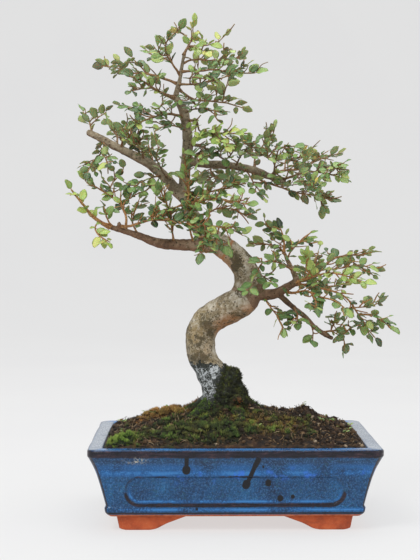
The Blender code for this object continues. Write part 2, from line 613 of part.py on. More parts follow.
def mound(x, y):
    """Height of the soil's top at a spot, in metres."""
    along = 1 - min(abs(x) / MOUND_HALF_LENGTH, 1.0) ** 2.6
    across = 1 - min(abs(y) / MOUND_HALF_WIDTH, 1.0) ** 2.2
    from_trunk = math.hypot(x - TRUNK_X, y)
    rise = TRUNK_RISE * math.exp(-((from_trunk / TRUNK_RISE_RADIUS) ** 2))
    hump_height, hump_x, reach_x, reach_y = HUMP
    hump = hump_height * math.exp(-(((x - hump_x) / reach_x) ** 2) - ((y / reach_y) ** 2))
    rough = SOIL_ROUGHNESS * noise(Vector((x * 55, y * 55, 2.0))) * min(along * across * 4, 1.0)
    return POT_HEIGHT - 0.0012 + MOUND_HEIGHT * along * across + rise + hump + rough


def soil_wall(height):
    """Length and width of the pot's inside at a height, less the soil's clearance."""
    inner = [(z, inset) for z, inset in POT_PROFILE[-3:]]
    inner.reverse()
    inset = inner[-1][1]
    for (low, low_inset), (high, high_inset) in zip(inner, inner[1:]):
        if low * MM <= height <= high * MM:
            share = (height / MM - low) / (high - low)
            inset = low_inset + (high_inset - low_inset) * share
    return inset * MM + SOIL_CLEARANCE


def make_soil(collection, cutters):
    bm = bmesh.new()
    rings = []
    edge_height = POT_HEIGHT - SOIL_EDGE_DROP
    for height in (POT_FLOOR + GAP, 0.045, edge_height):
        inset = soil_wall(height)
        corner = max(POT_CORNER - inset * 0.35, 0.004)
        size = (POT_LENGTH - 2 * inset, POT_WIDTH - 2 * inset)
        rings.append(rounded_ring(*size, corner, height, SOIL_SIDE_STEPS))
    for share in SOIL_RINGS:
        corner = SOIL_CORNER + SOIL_CORNER_GROWTH * (1 - share)
        ring = rounded_ring(size[0] * share, size[1] * share, corner, 0, SOIL_SIDE_STEPS)
        rings.append([Vector((p.x, p.y, mound(p.x, p.y))) for p in ring])
    loft(bm, rings)
    bmesh.ops.triangulate(bm, faces=bm.faces)
    earth = make_material("soil", (0.05, 0.03, 0.015), 0.95)
    soil = make_object("soil", mesh_from_bmesh("soil", bm), collection, earth)
    hole = make_cylinder("trunk_hole", HOLE_RADIUS, HOLE_FLOOR, CUTTER_TOP, (TRUNK_X, 0), cutters)
    apply_boolean(soil, "DIFFERENCE", hole)
    for side in (-1, 1):
        bm = bmesh.new()
        bmesh.ops.create_cube(bm, size=1.0)
        room = SCREEN_SIZE + 2 * SOIL_CLEARANCE
        top = POT_FLOOR + SCREEN_THICKNESS + 2 * GAP
        size = Matrix.Diagonal((room, room, 0.01, 1.0))
        spot = Matrix.Translation((side * DRAIN_X, 0, top - 0.005))
        bmesh.ops.transform(bm, matrix=spot @ size, verts=bm.verts)
        pocket = make_object("screen_pocket", mesh_from_bmesh("screen_pocket", bm), cutters)
        apply_boolean(soil, "DIFFERENCE", pocket)
    return soil


def make_moss(name, values, soil, collection, cutters, material):
    """A lumpy cushion with a flat underside that stands in a shallow pocket in the soil."""
    x, y, half_length, half_width, height, turn_degrees = [value * MM for value in values]
    turn = math.radians(turn_degrees / MM)
    squash = half_width / half_length
    outline = []
    for step in range(MOSS_SIDES):
        angle = 2 * math.pi * step / MOSS_SIDES
        flat = Vector((half_length * math.cos(angle), half_width * math.sin(angle), 0))
        outline.append(Matrix.Rotation(turn, 3, "Z") @ flat)
    floor = min(mound(x + spot.x, y + spot.y) for spot in outline) - MOSS_DEPTH
    radius = half_length + SOIL_CLEARANCE * 2
    pocket = make_cylinder("pocket", radius, floor, CUTTER_TOP, (x, y), cutters, MOSS_SIDES, squash, turn)
    apply_boolean(soil, "DIFFERENCE", pocket)
    bm = bmesh.new()
    rings = []
    for share, lift in MOSS_RINGS:
        ring = []
        for point in outline:
            spot = point * share + Vector((x, y, 0))
            surface = mound(spot.x, spot.y) + height * lift * (1 + MOSS_ROUGHNESS * noise(spot * 160))
            spot.z = floor + GAP if lift == 0 else max(surface, floor + GAP + 0.0015 * lift)
            ring.append(spot)
        rings.append(ring)
    loft(bm, rings)
    bmesh.ops.triangulate(bm, faces=bm.faces)
    return make_object(name, mesh_from_bmesh(name, bm), collection, material)


def place(x, z, depth):
    """The point that is seen at (x, z) on the trunk's plane and lies at a depth behind it, in millimetres."""
    scale = 1 + depth / -EYE.y
    return Vector((EYE.x + (x - EYE.x) * scale, depth, EYE.z + (z - EYE.z) * scale))


def path_length(points):
    return sum((b - a).length for a, b in zip(points, points[1:]))


def point_along(points, distance):
    """Point, direction and segment number at a distance along a path."""
    for index, (a, b) in enumerate(zip(points, points[1:])):
        step = (b - a).length
        if distance <= step or index == len(points) - 2:
            return a + (b - a) * min(distance / step, 1.0), (b - a).normalized(), index
        distance -= step
    return points[-1], (points[-1] - points[-2]).normalized(), len(points) - 2


class Limb:
    """One stem: its centre line in millimetres, its radii and the node that it belongs to."""

    def __init__(self, name, node, points, radii):
        self.name = name
        self.node = node
        self.points = points
        self.radii = radii

    def nearest(self, target):
        """The centre-line point that is seen nearest to a point of the trunk's plane."""
        best = None
        for a, b in zip(self.points, self.points[1:]):
            for step in range(9):
                share = step / 8
                spot = a.lerp(b, share)
                scale = 1 + spot.y / -EYE.y
                seen = (EYE.x + (spot.x - EYE.x) / scale, EYE.z + (spot.z - EYE.z) / scale)
                away = math.hypot(seen[0] - target[0], seen[1] - target[1])
                if best is None or away < best[0] - 1e-9:
                    best = (away, spot)
        return best[1]

    def clearance(self, spot):
        """How far a point lies outside the limb's round sections."""
        best = None
        for index, (a, b) in enumerate(zip(self.points, self.points[1:])):
            run = b - a
            share = min(max((spot - a).dot(run) / run.length_squared, 0.0), 1.0)
            radius = self.radii[index] + (self.radii[index + 1] - self.radii[index]) * share
            away = (spot - a.lerp(b, share)).length - radius
            if best is None or away < best:
                best = away
        return best


def grow_trunk():
    points = [place(x, z, depth) for x, z, _, depth in TRUNK]
    radii = [width / 2 for _, _, width, _ in TRUNK]
    return Limb("trunk", "tree_wood", points, radii)


def grow_limb(name, node, parent, width, tip_width, tip_depth, route):
    """Grow a limb from its parent's centre line along a route, with the depth changing evenly on the way."""
    root = parent.nearest(route[0])
    flat = [(0.0, route[0])]
    for before, after in zip(route, route[1:]):
        flat.append((flat[-1][0] + math.hypot(after[0] - before[0], after[1] - before[1]), after))
    total = flat[-1][0]
    points = [root]
    radii = [width / 2]
    for distance, (x, z) in flat[1:]:
        share = distance / total
        points.append(place(x, z, root.y + (tip_depth * DEPTH_SCALE - root.y) * share))
        radii.append((width + (tip_width - width) * share) / 2)
    return Limb(name, node, points, radii)


def split_limb(limb, mother):
    """Cut a limb into a short collar that stays on its mother and the shoot that stands 0.3 mm off it."""
    total = path_length(limb.points)
    cut = COLLAR_LENGTH
    while cut < total - COLLAR_LENGTH:
        spot, _, _ = point_along(limb.points, cut)
        if mother.clearance(spot) > COLLAR_LENGTH:
            break
        cut += COLLAR_STEP
    walked = 0.0
    for a, b in zip(limb.points, limb.points[1:]):
        walked += (b - a).length
        if walked - CUT_FROM_BEND < cut < walked + CUT_FROM_BEND:
            cut = walked + CUT_FROM_BEND
    spot, direction, index = point_along(limb.points, cut)
    start = spot + direction * (GAP / MM)
    radius = limb.radii[0] + (limb.radii[-1] - limb.radii[0]) * cut / total
    below = index + 1
    collar = Limb(limb.name + "_collar", "", limb.points[:below] + [spot], limb.radii[:below] + [radius])
    shoot = Limb(limb.name, limb.node, [start] + limb.points[below:], [radius] + limb.radii[below:])
    return collar, shoot


def grow_tree():
    """All limbs by node, as a dictionary of lists, and the leafy shoots with the share where leaves start."""
    trunk = grow_trunk()
    limbs = {"trunk": trunk}
    nodes = {"tree_wood": [trunk]}
    leafy = []
    for name, parent, width, tip_width, tip_depth, route in WOOD:
        limb = grow_limb(name, "tree_wood", limbs[parent], width, tip_width, tip_depth, route)
        limbs[name] = limb
        nodes["tree_wood"].append(limb)
    for node, shoots in SPRAYS.items():
        nodes[node] = []
        own = {}
        for name, parent, width, tip_width, tip_depth, leaf_start, route in shoots:
            mother = own.get(parent) or limbs[parent]
            limb = grow_limb(node + "_" + name, node, mother, width, tip_width, tip_depth, route)
            if parent not in own:
                collar, limb = split_limb(limb, mother)
                nodes["tree_wood"].append(collar)
            own[name] = limb
            nodes[node].append(limb)
            leafy.append((node, limb, leaf_start))
    return nodes, leafy


def limb_mesh(limb, collection):
    """A limb as a bevelled curve that is turned into a closed mesh, with more sides the thicker it is."""
    curve = bpy.data.curves.new(limb.name, "CURVE")
    curve.dimensions = "3D"
    curve.bevel_depth = MM
    curve.bevel_resolution = 0
    for width, resolution in BEVEL_STEPS:
        if 2 * limb.radii[0] > width:
            curve.bevel_resolution = resolution
    curve.use_fill_caps = True
    spline = curve.splines.new("POLY")
    spline.points.add(len(limb.points) - 1)
    for point, spot, radius in zip(spline.points, limb.points, limb.radii):
        point.co = (*(spot * MM), 1)
        point.radius = radius
    holder = bpy.data.objects.new(limb.name, curve)
    collection.objects.link(holder)
    item = mesh_from_curve(holder, collection)
    item.hide_render = False
    return item


def roughen(mesh):
    """Push the trunk's skin in and out by smooth noise, above the height where it leaves the soil."""
    moves = []
    for vert in mesh.vertices:
        fade = min(max((vert.co.z - LUMPS_FROM) / LUMPS_FADE, 0.0), 1.0)
        moves.append(vert.normal * noise(vert.co * LUMPS_SCALE) * LUMPS_HEIGHT * fade)
    for vert, move in zip(mesh.vertices, moves):
        vert.co += move


def merge_flat_faces(mesh):
    """Dissolve the edges between faces that lie in one plane."""
    bm = bmesh.new()
    bm.from_mesh(mesh)
    bmesh.ops.dissolve_limit(bm, angle_limit=FLAT_ANGLE, verts=bm.verts, edges=bm.edges)
    bmesh.ops.triangulate(bm, faces=bm.faces)
    bm.to_mesh(mesh)
    bm.free()


def join_limbs(name, limbs, collection, material, workshop):
    """Join the limbs of a node, and what else lies in the workshop collection, into one body."""
    base = limb_mesh(limbs[0], collection)
    if limbs[0].name == "trunk":
        roughen(base.data)
    for limb in limbs[1:]:
        limb_mesh(limb, workshop)
    base.name = name
    base.data.materials.clear()
    base.data.materials.append(material)
    base.display_type = "TEXTURED"
    if workshop.objects:
        apply_boolean(base, "UNION", workshop)
    merge_flat_faces(base.data)


def leaf_rings(base, along, up, length, width):
    """The two sections of a keeled blade, at its widest part and its shoulder, and its two ends."""
    side = along.cross(up).normalized()
    up = side.cross(along).normalized()
    rings = []
    for share, half_share, keel_share, bend in LEAF_SECTIONS:
        middle = base + along * length * share + up * bend * length
        edge = up * LEAF_KEEL * keel_share * 0.4
        keel = up * LEAF_KEEL * keel_share * 0.6
        half = side * width * half_share
        rings.append([middle + half + edge, middle - half + edge, middle - keel])
    return base - along * LEAF_SINK, rings, base + along * length


def leaf_faces(root, rings, tip):
    """Corner points and triangles of one leaf."""
    points = [root] + [point for ring in rings for point in ring] + [tip]
    faces = []
    for index in range(3):
        following = (index + 1) % 3
        a, b, c, d = 1 + index, 1 + following, 4 + index, 4 + following
        faces.append((0, b, a))
        faces.append((a, b, d))
        faces.append((a, d, c))
        faces.append((c, d, 7))
    return points, faces


def fat_leaf(base, along, up, length, width):
    """A leaf with its clearance round it, without its stem end, to test against what stands near."""
    root, rings, tip = leaf_rings(base, along, up, length + LEAF_CLEARANCE, width + 2 * LEAF_CLEARANCE)
    lift = up * LEAF_CLEARANCE
    grown = [[ring[0] + lift, ring[1] + lift, ring[2] - lift] for ring in rings]
    return leaf_faces(root + along * LEAF_ROOT_ROOM, grown, tip)


class Crowd:
    """What leaves must keep clear of, by node, as search trees in millimetres."""

    def __init__(self):
        self.points = {}
        self.faces = {}
        self.trees = {}

    def add(self, node, points, faces):
        held = self.points.setdefault(node, [])
        offset = len(held)
        held.extend(points)
        self.faces.setdefault(node, []).extend([tuple(i + offset for i in face) for face in faces])
        self.trees[node] = BVHTree.FromPolygons(held, self.faces[node])

    def hit(self, points, faces, skip=()):
        tree = BVHTree.FromPolygons(points, faces)
        return any(tree.overlap(other) for node, other in self.trees.items() if node not in skip)


def leaf_sites(limb, leaf_start, draw):
    """Places along a shoot where leaves stand, on alternate sides, with one at the tip."""
    total = path_length(limb.points)
    distance = total * leaf_start + draw.uniform(0, 2.0)
    side = draw.choice((-1, 1))
    sites = []
    while distance < total - LEAF_TIP_ROOM:
        sites.append((distance, side))
        side = -side
        distance += LEAF_SPACING * draw.uniform(*LEAF_SPACING_SPREAD)
    sites.append((total - 0.6, 0))
    return sites


def leaf_pose(limb, distance, side, draw):
    """Base, direction, upper side, length and width of one leaf."""
    spot, direction, index = point_along(limb.points, distance)
    front = -1 if spot.y < draw.uniform(-10, 30) else 1
    face = Vector((draw.uniform(-0.45, 0.45), front * draw.uniform(0.25, 1.0), draw.uniform(0.35, 1.0)))
    face.normalize()
    across = direction.cross(face).normalized()
    if side:
        angle = math.radians(draw.uniform(*LEAF_ANGLE))
        along = direction * math.cos(angle) + across * side * math.sin(angle)
    else:
        along = direction + across * draw.uniform(-0.3, 0.3)
    along = (along + Vector((0, 0, draw.uniform(-0.25, 0.2)))).normalized()
    up = (face - along * face.dot(along)).normalized()
    length = draw.uniform(*LEAF_LENGTH)
    width = length * draw.uniform(*LEAF_WIDTH_SHARE)
    return spot, along, up, length, width


def place_leaves(leafy, crowd):
    """Leaves by node. A leaf that would touch another node is turned, and left out when no turn clears it."""
    leaves = {}
    for number, (node, limb, leaf_start) in enumerate(leafy):
        draw = random.Random(SEED * 1000 + number)
        for distance, side in leaf_sites(limb, leaf_start, draw):
            for _ in range(LEAF_TRIES):
                pose = leaf_pose(limb, distance, side, draw)
                points, faces = fat_leaf(*pose)
                if not crowd.hit(points, faces, skip=(node + "_stems",)):
                    leaves.setdefault(node, []).append(pose)
                    crowd.add(node + "_leaves", *leaf_faces(*leaf_rings(*pose)))
                    break
    return leaves


def add_leaf(pose, collection):
    points, faces = leaf_faces(*leaf_rings(*pose))
    mesh = bpy.data.meshes.new("leaf")
    mesh.from_pydata([point * MM for point in points], [], faces)
    make_object("leaf", mesh, collection)


def measure_crowd(nodes, workshop):
    """Fill the crowd with every limb as it will be built."""
    crowd = Crowd()
    for node, limbs in nodes.items():
        points = []
        faces = []
        for limb in limbs:
            item = limb_mesh(limb, workshop)
            offset = len(points)
            points.extend([vert.co / MM for vert in item.data.vertices])
            faces.extend([tuple(i + offset for i in face.vertices) for face in item.data.polygons])
            bpy.data.objects.remove(item, do_unlink=True)
        crowd.add(node + "_stems", points, faces)
    return crowd


def make_tree(collection, workshop):
    nodes, leafy = grow_tree()
    crowd = measure_crowd(nodes, workshop)
    leaves = place_leaves(leafy, crowd)
    bark = make_material("bark", (0.28, 0.22, 0.16), 0.85)
    green = make_material("leaf_green", (0.06, 0.16, 0.03), 0.5)
    lime = make_material("leaf_lime", (0.22, 0.36, 0.04), 0.5)
    for node, limbs in nodes.items():
        for pose in leaves.get(node, []):
            add_leaf(pose, workshop)
        material = bark
        if node != "tree_wood":
            material = lime if node in LIME_NODES else green
        join_limbs(node, limbs, collection, material, workshop)


def main():
    clear_scene()
    collection = make_collection("zelkova_bonsai")
    cutters = make_collection("cutters")
    workshop = make_collection("workshop")
    pot = make_pot(collection, cutters)
    pot.data.set_sharp_from_angle(angle=math.radians(35))
    plastic = make_material("screen_plastic", (0.02, 0.02, 0.02), 0.6)
    for side in (-1, 1):
        make_screen(side, collection, cutters, plastic)
    soil = make_soil(collection, cutters)
    moss_green = make_material("moss", (0.10, 0.15, 0.02), 0.95)
    for name, values in MOSS.items():
        make_moss(name, values, soil, collection, cutters, moss_green)
    make_tree(collection, workshop)


main()
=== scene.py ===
"""Old small-leaved bonsai in a blue glazed pot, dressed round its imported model.

Metres, +Z up, +X to the right, -Y to the front. The tree is drawn in millimetres on the upright plane
through the trunk, as it is seen from the front eye point, with a depth for each limb.
"""
import math
import random

import bmesh
import bpy
import numpy as np
from mathutils import Matrix, Vector
from mathutils.bvhtree import BVHTree
from mathutils.kdtree import KDTree
from mathutils.noise import noise


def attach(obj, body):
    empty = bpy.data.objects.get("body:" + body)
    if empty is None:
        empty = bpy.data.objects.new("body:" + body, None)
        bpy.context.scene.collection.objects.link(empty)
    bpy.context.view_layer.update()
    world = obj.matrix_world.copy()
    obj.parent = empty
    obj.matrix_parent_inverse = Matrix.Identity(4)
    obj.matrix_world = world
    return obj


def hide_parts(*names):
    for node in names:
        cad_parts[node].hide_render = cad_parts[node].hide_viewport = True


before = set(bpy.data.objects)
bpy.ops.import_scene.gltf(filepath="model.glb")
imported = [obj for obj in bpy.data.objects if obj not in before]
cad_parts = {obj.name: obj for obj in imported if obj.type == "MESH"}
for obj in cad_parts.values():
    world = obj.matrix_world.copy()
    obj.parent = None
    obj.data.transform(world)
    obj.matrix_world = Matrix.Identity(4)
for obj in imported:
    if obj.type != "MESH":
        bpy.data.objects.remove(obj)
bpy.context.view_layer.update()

MM = 0.001
GAP = 0.0003
# Pot
POT_LENGTH = 0.250
POT_WIDTH = 0.185
POT_HEIGHT = 0.0715
# Height and inset from the rim's outer edge, in millimetres, from the base's middle outward, up the wall,
# over the rim and down the inside to the floor.
POT_PROFILE = [
    (12.5, 18.0), (14.5, 15.6), (16.5, 14.4), (20.2, 13.9), (21.6, 15.1), (30.0, 13.2),
    (38.5, 11.0), (47.0, 8.5), (55.0, 5.6), (61.0, 2.6), (64.4, 0.9), (65.6, 0.0), (70.3, 0.0),
    (71.5, 1.2), (71.5, 11.6), (70.2, 13.0), (45.0, 17.0), (20.5, 22.5),
]
# The same from just inside the rim to the floor, with more steps
POT_INSIDE = [(70.0, 13.05), (64.0, 14.0), (55.0, 15.4), (45.0, 17.0), (30.0, 20.4), (20.5, 22.5)]
POT_FLOOR = 0.0205
# Steps along the long walls, the end walls and the corners of every ring of the pot
POT_STEPS = (128, 90, 7)
# How far the profile's corners are rounded, where its base, wall and rim meet, and the longest step up it,
# in millimetres
BASE_ROUNDING = 0.9
WALL_ROUNDING = 6.0
RIM_ROUNDING = 1.1
WALL_FROM = 22.5
RIM_FROM = 61.5
POT_ROW_STEP = 1.45
# Side outline of a foot as distance from the pot's middle and height, in millimetres: the inner end sweeps
# up to the pot's underside, and the top is sunk into it.
FOOT_OUTLINE = [
    (38.0, 16.5), (38.0, 12.8), (57.5, 5.6), (66.0, 1.2),
    (70.0, 0.0), (95.5, 0.0), (98.8, 1.4), (102.0, 16.5),
]
FOOT_DEPTH = 0.024
FOOT_FRONT = 0.072
# Heights of a foot's rings, in millimetres
FOOT_ROWS = [0.0, 0.15, 0.5, 1.0, 1.6, 2.4, 3.4, 4.6, 5.8, 7.0, 8.4, 9.8, 11.2, 12.4, 12.8, 15.6]
PANEL_LENGTH_FRONT = 0.184
PANEL_LENGTH_END = 0.122
PANEL_HEIGHT = 0.0240
PANEL_MIDDLE = 0.0352
PANEL_END_SHARE = 0.46
DRAIN_RADIUS = 0.008
DRAIN_X = 0.055

# Drainage screens
SCREEN_THICKNESS = 0.0010

# Soil
MOUND_HEIGHT = 0.0225
MOUND_HALF_LENGTH = 0.118
MOUND_HALF_WIDTH = 0.082
TRUNK_X = -0.007
TRUNK_RISE = 0.0045
TRUNK_RISE_RADIUS = 0.034
# A low hump right of the trunk: height, middle x, reach along x and reach along y
HUMP = (0.0028, 0.064, 0.014, 0.03)
SOIL_ROUGHNESS = 0.0015
# The soil's rough bed in millimetres, and its points along and across
BED_HALF_LENGTH = 111.6
BED_HALF_WIDTH = 79.1
BED_CORNER = 5.0
BED_COLUMNS = 190
BED_ROWS = 136
# How many places are tried for crumbs, dead roots and moss, before those without room are left out
CRUMB_SPOTS = 3500
LITTER_SPOTS = 3450
CARPET_SPOTS = 30000
TRUNK_MOSS_SHOOTS = 4600

# Moss cushions: node, then centre x, centre y, half length, half width and height in millimetres and turn in
# degrees, then number of shoots, how dry, how light, and seed
CUSHIONS = [
    ("moss_front", (-26.0, -58.0, 46.0, 12.0, 4.2, 1.0), 6200, 0.12, 0.36, 3),
    ("moss_corner", (-97.0, -64.0, 12.0, 8.5, 6.5, 12.0), 1100, 0.0, 0.72, 7),
    ("moss_ridge", (-62.0, -4.0, 24.0, 8.0, 5.0, -8.0), 2200, 0.75, 0.55, 9),
]
CUSHION_SIDES = 72
CUSHION_RINGS = 15

# Limbs. EYE is the point that the tree is drawn from, in millimetres.
EYE = Vector((-34.0, -1221.0, 253.0))
DEPTH_SCALE = 1.2
COLLAR_LENGTH = 2.4
COLLAR_STEP = 0.4
CUT_FROM_BEND = 1.0
# Limbs thicker than a width get a finer round section; thin twigs have four sides.
BEVEL_STEPS = ((3.4, 1), (5.0, 2), (15.0, 4))

# Trunk: x, z, width and depth
TRUNK = [
    (-7, 53, 46, 0), (-7, 96, 46, 0), (-8, 102, 43, 0), (-10, 108, 38.5, 0), (-12, 114, 34.5, 0.5),
    (-15.5, 121, 30.5, 0.5), (-20.5, 129, 27, 1.5), (-25, 136, 25, 2.5), (-28, 144, 25.5, 3.5),
    (-29.3, 152, 26.8, 4.5), (-29, 160, 27.2, 4.5), (-26.5, 168, 27, 4),
    (-20, 176, 26.5, 3), (-10, 182, 27, 1), (0, 187, 28, -1), (9, 193, 28, -3), (13.5, 202, 27.5, -4),
    (14, 212, 25, -4), (10, 222, 22.5, -3), (4, 230, 21.5, -2), (-5, 238, 21, 0), (-15, 245, 19.5, 2),
    (-25, 253, 17.5, 4), (-34, 264, 14.5, 6), (-40, 276, 12.2, 7), (-43, 290, 10.4, 8), (-43.5, 301, 9.8, 8),
    (-42, 315, 9.6, 7), (-40.5, 330, 9.4, 6), (-41.5, 350, 9, 4), (-46, 367, 8.2, 2), (-51, 374, 6.2, 1),
    (-50, 380, 5, 0), (-47.5, 390, 4, -1), (-46, 400, 3.4, -2), (-44, 412, 2.8, -3),
]

# Boughs and bare twigs that are one piece with the trunk:
# name, parent, width at the start, width at the tip, depth of the tip, route of (x, z)
WOOD = [
    ("base_burl", "trunk", 30, 16, -2, [(-4, 105), (-3, 116), (-2.5, 129)]),
    ("base_stub", "trunk", 6, 5, -25, [(-4, 103), (7, 103.5)]),
    ("low_left", "trunk", 13, 4.4, -22, [
        (-12, 241), (-20, 241), (-40, 242.5), (-60, 243), (-70, 245), (-80, 249), (-90, 252.5),
        (-100, 255.5),
        (-110, 258.5)]),
    ("low_left_stub", "low_left", 4.2, 3.6, -25, [(-102, 256), (-102, 262)]),
    ("mid_left", "trunk", 11, 6, 24, [
        (-43, 282), (-52, 292), (-58, 300), (-65, 307), (-72, 313), (-80, 318), (-100, 328), (-110, 333),
        (-120, 338.5), (-130, 343.5)]),
    ("mid_right", "trunk", 8, 6, 10, [
        (-42, 318), (-30, 315.5), (-10, 314), (10, 311.5), (20, 309), (30, 305), (38, 302), (46, 299)]),
    ("mid_right_collar", "mid_right", 6, 9, 10, [(38, 302), (41, 300.8), (46, 298.8)]),
    ("low_right", "trunk", 12, 6.4, -14, [
        (14, 199), (26, 197.5), (38, 198.5), (45, 202), (52, 206), (57, 209)]),
    ("low_right_up", "low_right", 5.6, 3, -4, [
        (57, 209), (57, 212), (55, 217), (52, 223), (49, 229), (46, 236)]),
    ("low_right_down", "low_right", 5.4, 4, 6, [
        (40, 199), (48, 192), (58, 183), (65, 178), (72, 170), (78, 165), (84, 161), (90, 158)]),
    ("crown_hook", "trunk", 2, 1.4, -13, [(-44, 411), (-38, 409), (-34, 405), (-34, 401), (-37, 397)]),
]

